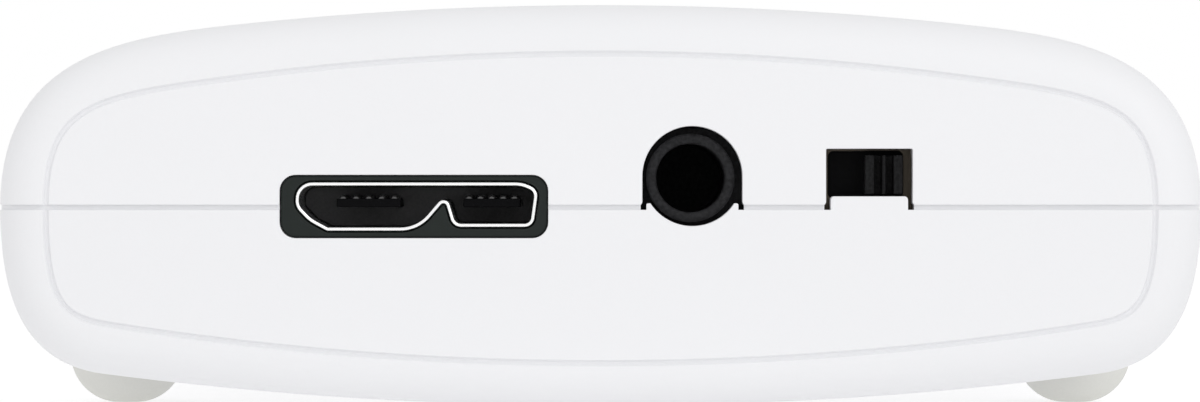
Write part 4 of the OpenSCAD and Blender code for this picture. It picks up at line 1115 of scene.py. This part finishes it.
# Status light
def light_pipe():
    """Clear rod with a softly domed end in the crown and a flange under it."""
    ceiling = ROOF - WALL - FIT
    seat = ceiling - LIGHT_FLANGE_T
    profile = [(LIGHT_R - FIT, LIGHT_FOOT), (LIGHT_R, LIGHT_FOOT + FIT), (LIGHT_R, seat)]
    profile += [(LIGHT_FLANGE_R, seat), (LIGHT_FLANGE_R, ceiling), (LIGHT_R, ceiling)]
    edge = 2 * FIT
    brow = LIGHT_TOP - FIT / 2
    profile += [(LIGHT_R - edge * gone, brow - edge * off) for gone, off in quarter_turn(TURN_STEPS)]
    profile += [(LIGHT_R / 2, LIGHT_TOP - FIT / 8), (LEAST_ROUND, LIGHT_TOP)]
    made = solid("status_window", turned(profile, 0.0, LIGHT_Y))
    dress(made, FROSTED, ["light_pipe"])


upper_shell()
lower_shell()
feet()
usb_bezel()
usb_shell()
usb_tongues()
usb_contacts()
jack()
switch_frame()
switch_knob()
video_shell()
video_insulator()
posts()
light_pipe()

# Inner pieces that keep their CAD shape
INNER = {
    "case_screws": STEEL, "main_board": BOARD, "jack_springs": BRASS, "switch_base": PHENOLIC,
    "switch_terminals": BRASS, "switch_wiper": BRASS, "video_socket_contacts": GOLD,
    "video_receiver_chip": CHIP, "capture_processor": CHIP, "thermal_pad": PAD, "heat_sink": ALUMINIUM,
    "memory_chips": CHIP, "flash_chip": CHIP, "usb_bridge_chip": CHIP, "audio_chip": CHIP,
    "crystal": CAN, "inductors": FERRITE, "capacitors": CAN, "status_led": LED,
}
for name, finish in INNER.items():
    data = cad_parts[name].data
    data.materials.clear()
    data.materials.append(finish)


# Stage and camera: a pale floor that keeps a faint shadow, and a white surround. Places are in metres
FLOOR_WHITE = 0.55
TABLE_LIGHT = 0.44
TABLE_SEEN = 0.62
FRONT_LIGHT = 1.035
REAR_LIGHT = 0.45
FLOOR_REACH = 3.0
KEY_PLACE = (0.35, -0.5, 0.35)
KEY_AIM = (0, 0, 0.01)
KEY_SIZE = (0.5, 0.5)
KEY_POWER = 0.6
CAMERA_PLACE = (-0.00003, -0.349, 0.01124)
CAMERA_LENS = 171.5
CAMERA_SENSOR = 36.0
CAMERA_NEAR = 0.01


def is_seen(nodes, links):
    """1 where a ray comes from the camera, a reflection or a clear piece, and 0 for light on the object."""
    path = nodes.new("ShaderNodeLightPath")
    first = nodes.new("ShaderNodeMath")
    first.operation = "MAXIMUM"
    links.new(path.outputs["Is Camera Ray"], first.inputs[0])
    links.new(path.outputs["Is Glossy Ray"], first.inputs[1])
    both = nodes.new("ShaderNodeMath")
    both.operation = "MAXIMUM"
    links.new(first.outputs[0], both.inputs[0])
    links.new(path.outputs["Is Transmission Ray"], both.inputs[1])
    return both.outputs[0]


def floor():
    """A matt white table that is lit a little from below, as for a product photo."""
    mesh = bmesh.new()
    bmesh.ops.create_grid(mesh, x_segments=8, y_segments=8, size=FLOOR_REACH)
    made = solid("floor", mesh)
    paint = bpy.data.materials.new("pale floor")
    paint.use_nodes = True
    nodes = paint.node_tree.nodes
    links = paint.node_tree.links
    nodes.clear()
    matt = nodes.new("ShaderNodeBsdfDiffuse")
    matt.inputs["Color"].default_value = (FLOOR_WHITE, FLOOR_WHITE, FLOOR_WHITE, 1)
    lift = nodes.new("ShaderNodeMapRange")
    lift.inputs["To Min"].default_value = TABLE_LIGHT
    lift.inputs["To Max"].default_value = TABLE_SEEN
    links.new(is_seen(nodes, links), lift.inputs["Value"])
    glow = nodes.new("ShaderNodeEmission")
    links.new(lift.outputs["Result"], glow.inputs["Strength"])
    total = nodes.new("ShaderNodeAddShader")
    links.new(matt.outputs[0], total.inputs[0])
    links.new(glow.outputs[0], total.inputs[1])
    output = nodes.new("ShaderNodeOutputMaterial")
    links.new(total.outputs[0], output.inputs["Surface"])
    made.data.materials.append(paint)


def surround():
    """White where it is seen. As light, it is strongest from the camera's side and weaker from behind."""
    world = bpy.data.worlds.new("studio")
    world.use_nodes = True
    bpy.context.scene.world = world
    nodes = world.node_tree.nodes
    links = world.node_tree.links
    back = nodes["Background"]
    back.inputs["Color"].default_value = (1, 1, 1, 1)
    place = nodes.new("ShaderNodeTexCoord")
    parts = nodes.new("ShaderNodeSeparateXYZ")
    links.new(place.outputs["Generated"], parts.inputs[0])
    falloff = nodes.new("ShaderNodeMapRange")
    falloff.inputs["From Min"].default_value = -1.0
    falloff.inputs["From Max"].default_value = 1.0
    falloff.inputs["To Min"].default_value = FRONT_LIGHT
    falloff.inputs["To Max"].default_value = REAR_LIGHT
    links.new(parts.outputs["Y"], falloff.inputs["Value"])
    choice = nodes.new("ShaderNodeMix")
    choice.inputs["B"].default_value = 1.0
    links.new(is_seen(nodes, links), choice.inputs["Factor"])
    links.new(falloff.outputs["Result"], choice.inputs["A"])
    links.new(choice.outputs["Result"], back.inputs["Strength"])


def softbox(name, place, aim, size, power):
    lamp = bpy.data.lights.new(name, "AREA")
    lamp.shape = "RECTANGLE"
    lamp.size, lamp.size_y = size
    lamp.energy = power
    made = bpy.data.objects.new(name, lamp)
    made.location = place
    made.rotation_mode = "QUATERNION"
    made.rotation_quaternion = (Vector(aim) - Vector(place)).to_track_quat("-Z", "Y")
    bpy.context.scene.collection.objects.link(made)


floor()
surround()
softbox("key", KEY_PLACE, KEY_AIM, KEY_SIZE, KEY_POWER)

# Camera: level with the box and square to its front panel
camera = bpy.data.objects.new("camera", bpy.data.cameras.new("camera"))
camera.location = CAMERA_PLACE
camera.rotation_euler = (math.radians(90), 0, 0)
camera.data.lens = CAMERA_LENS
camera.data.sensor_width = CAMERA_SENSOR
camera.data.clip_start = CAMERA_NEAR
bpy.context.scene.collection.objects.link(camera)
bpy.context.scene.camera = camera
bpy.context.scene.view_settings.view_transform = "Standard"
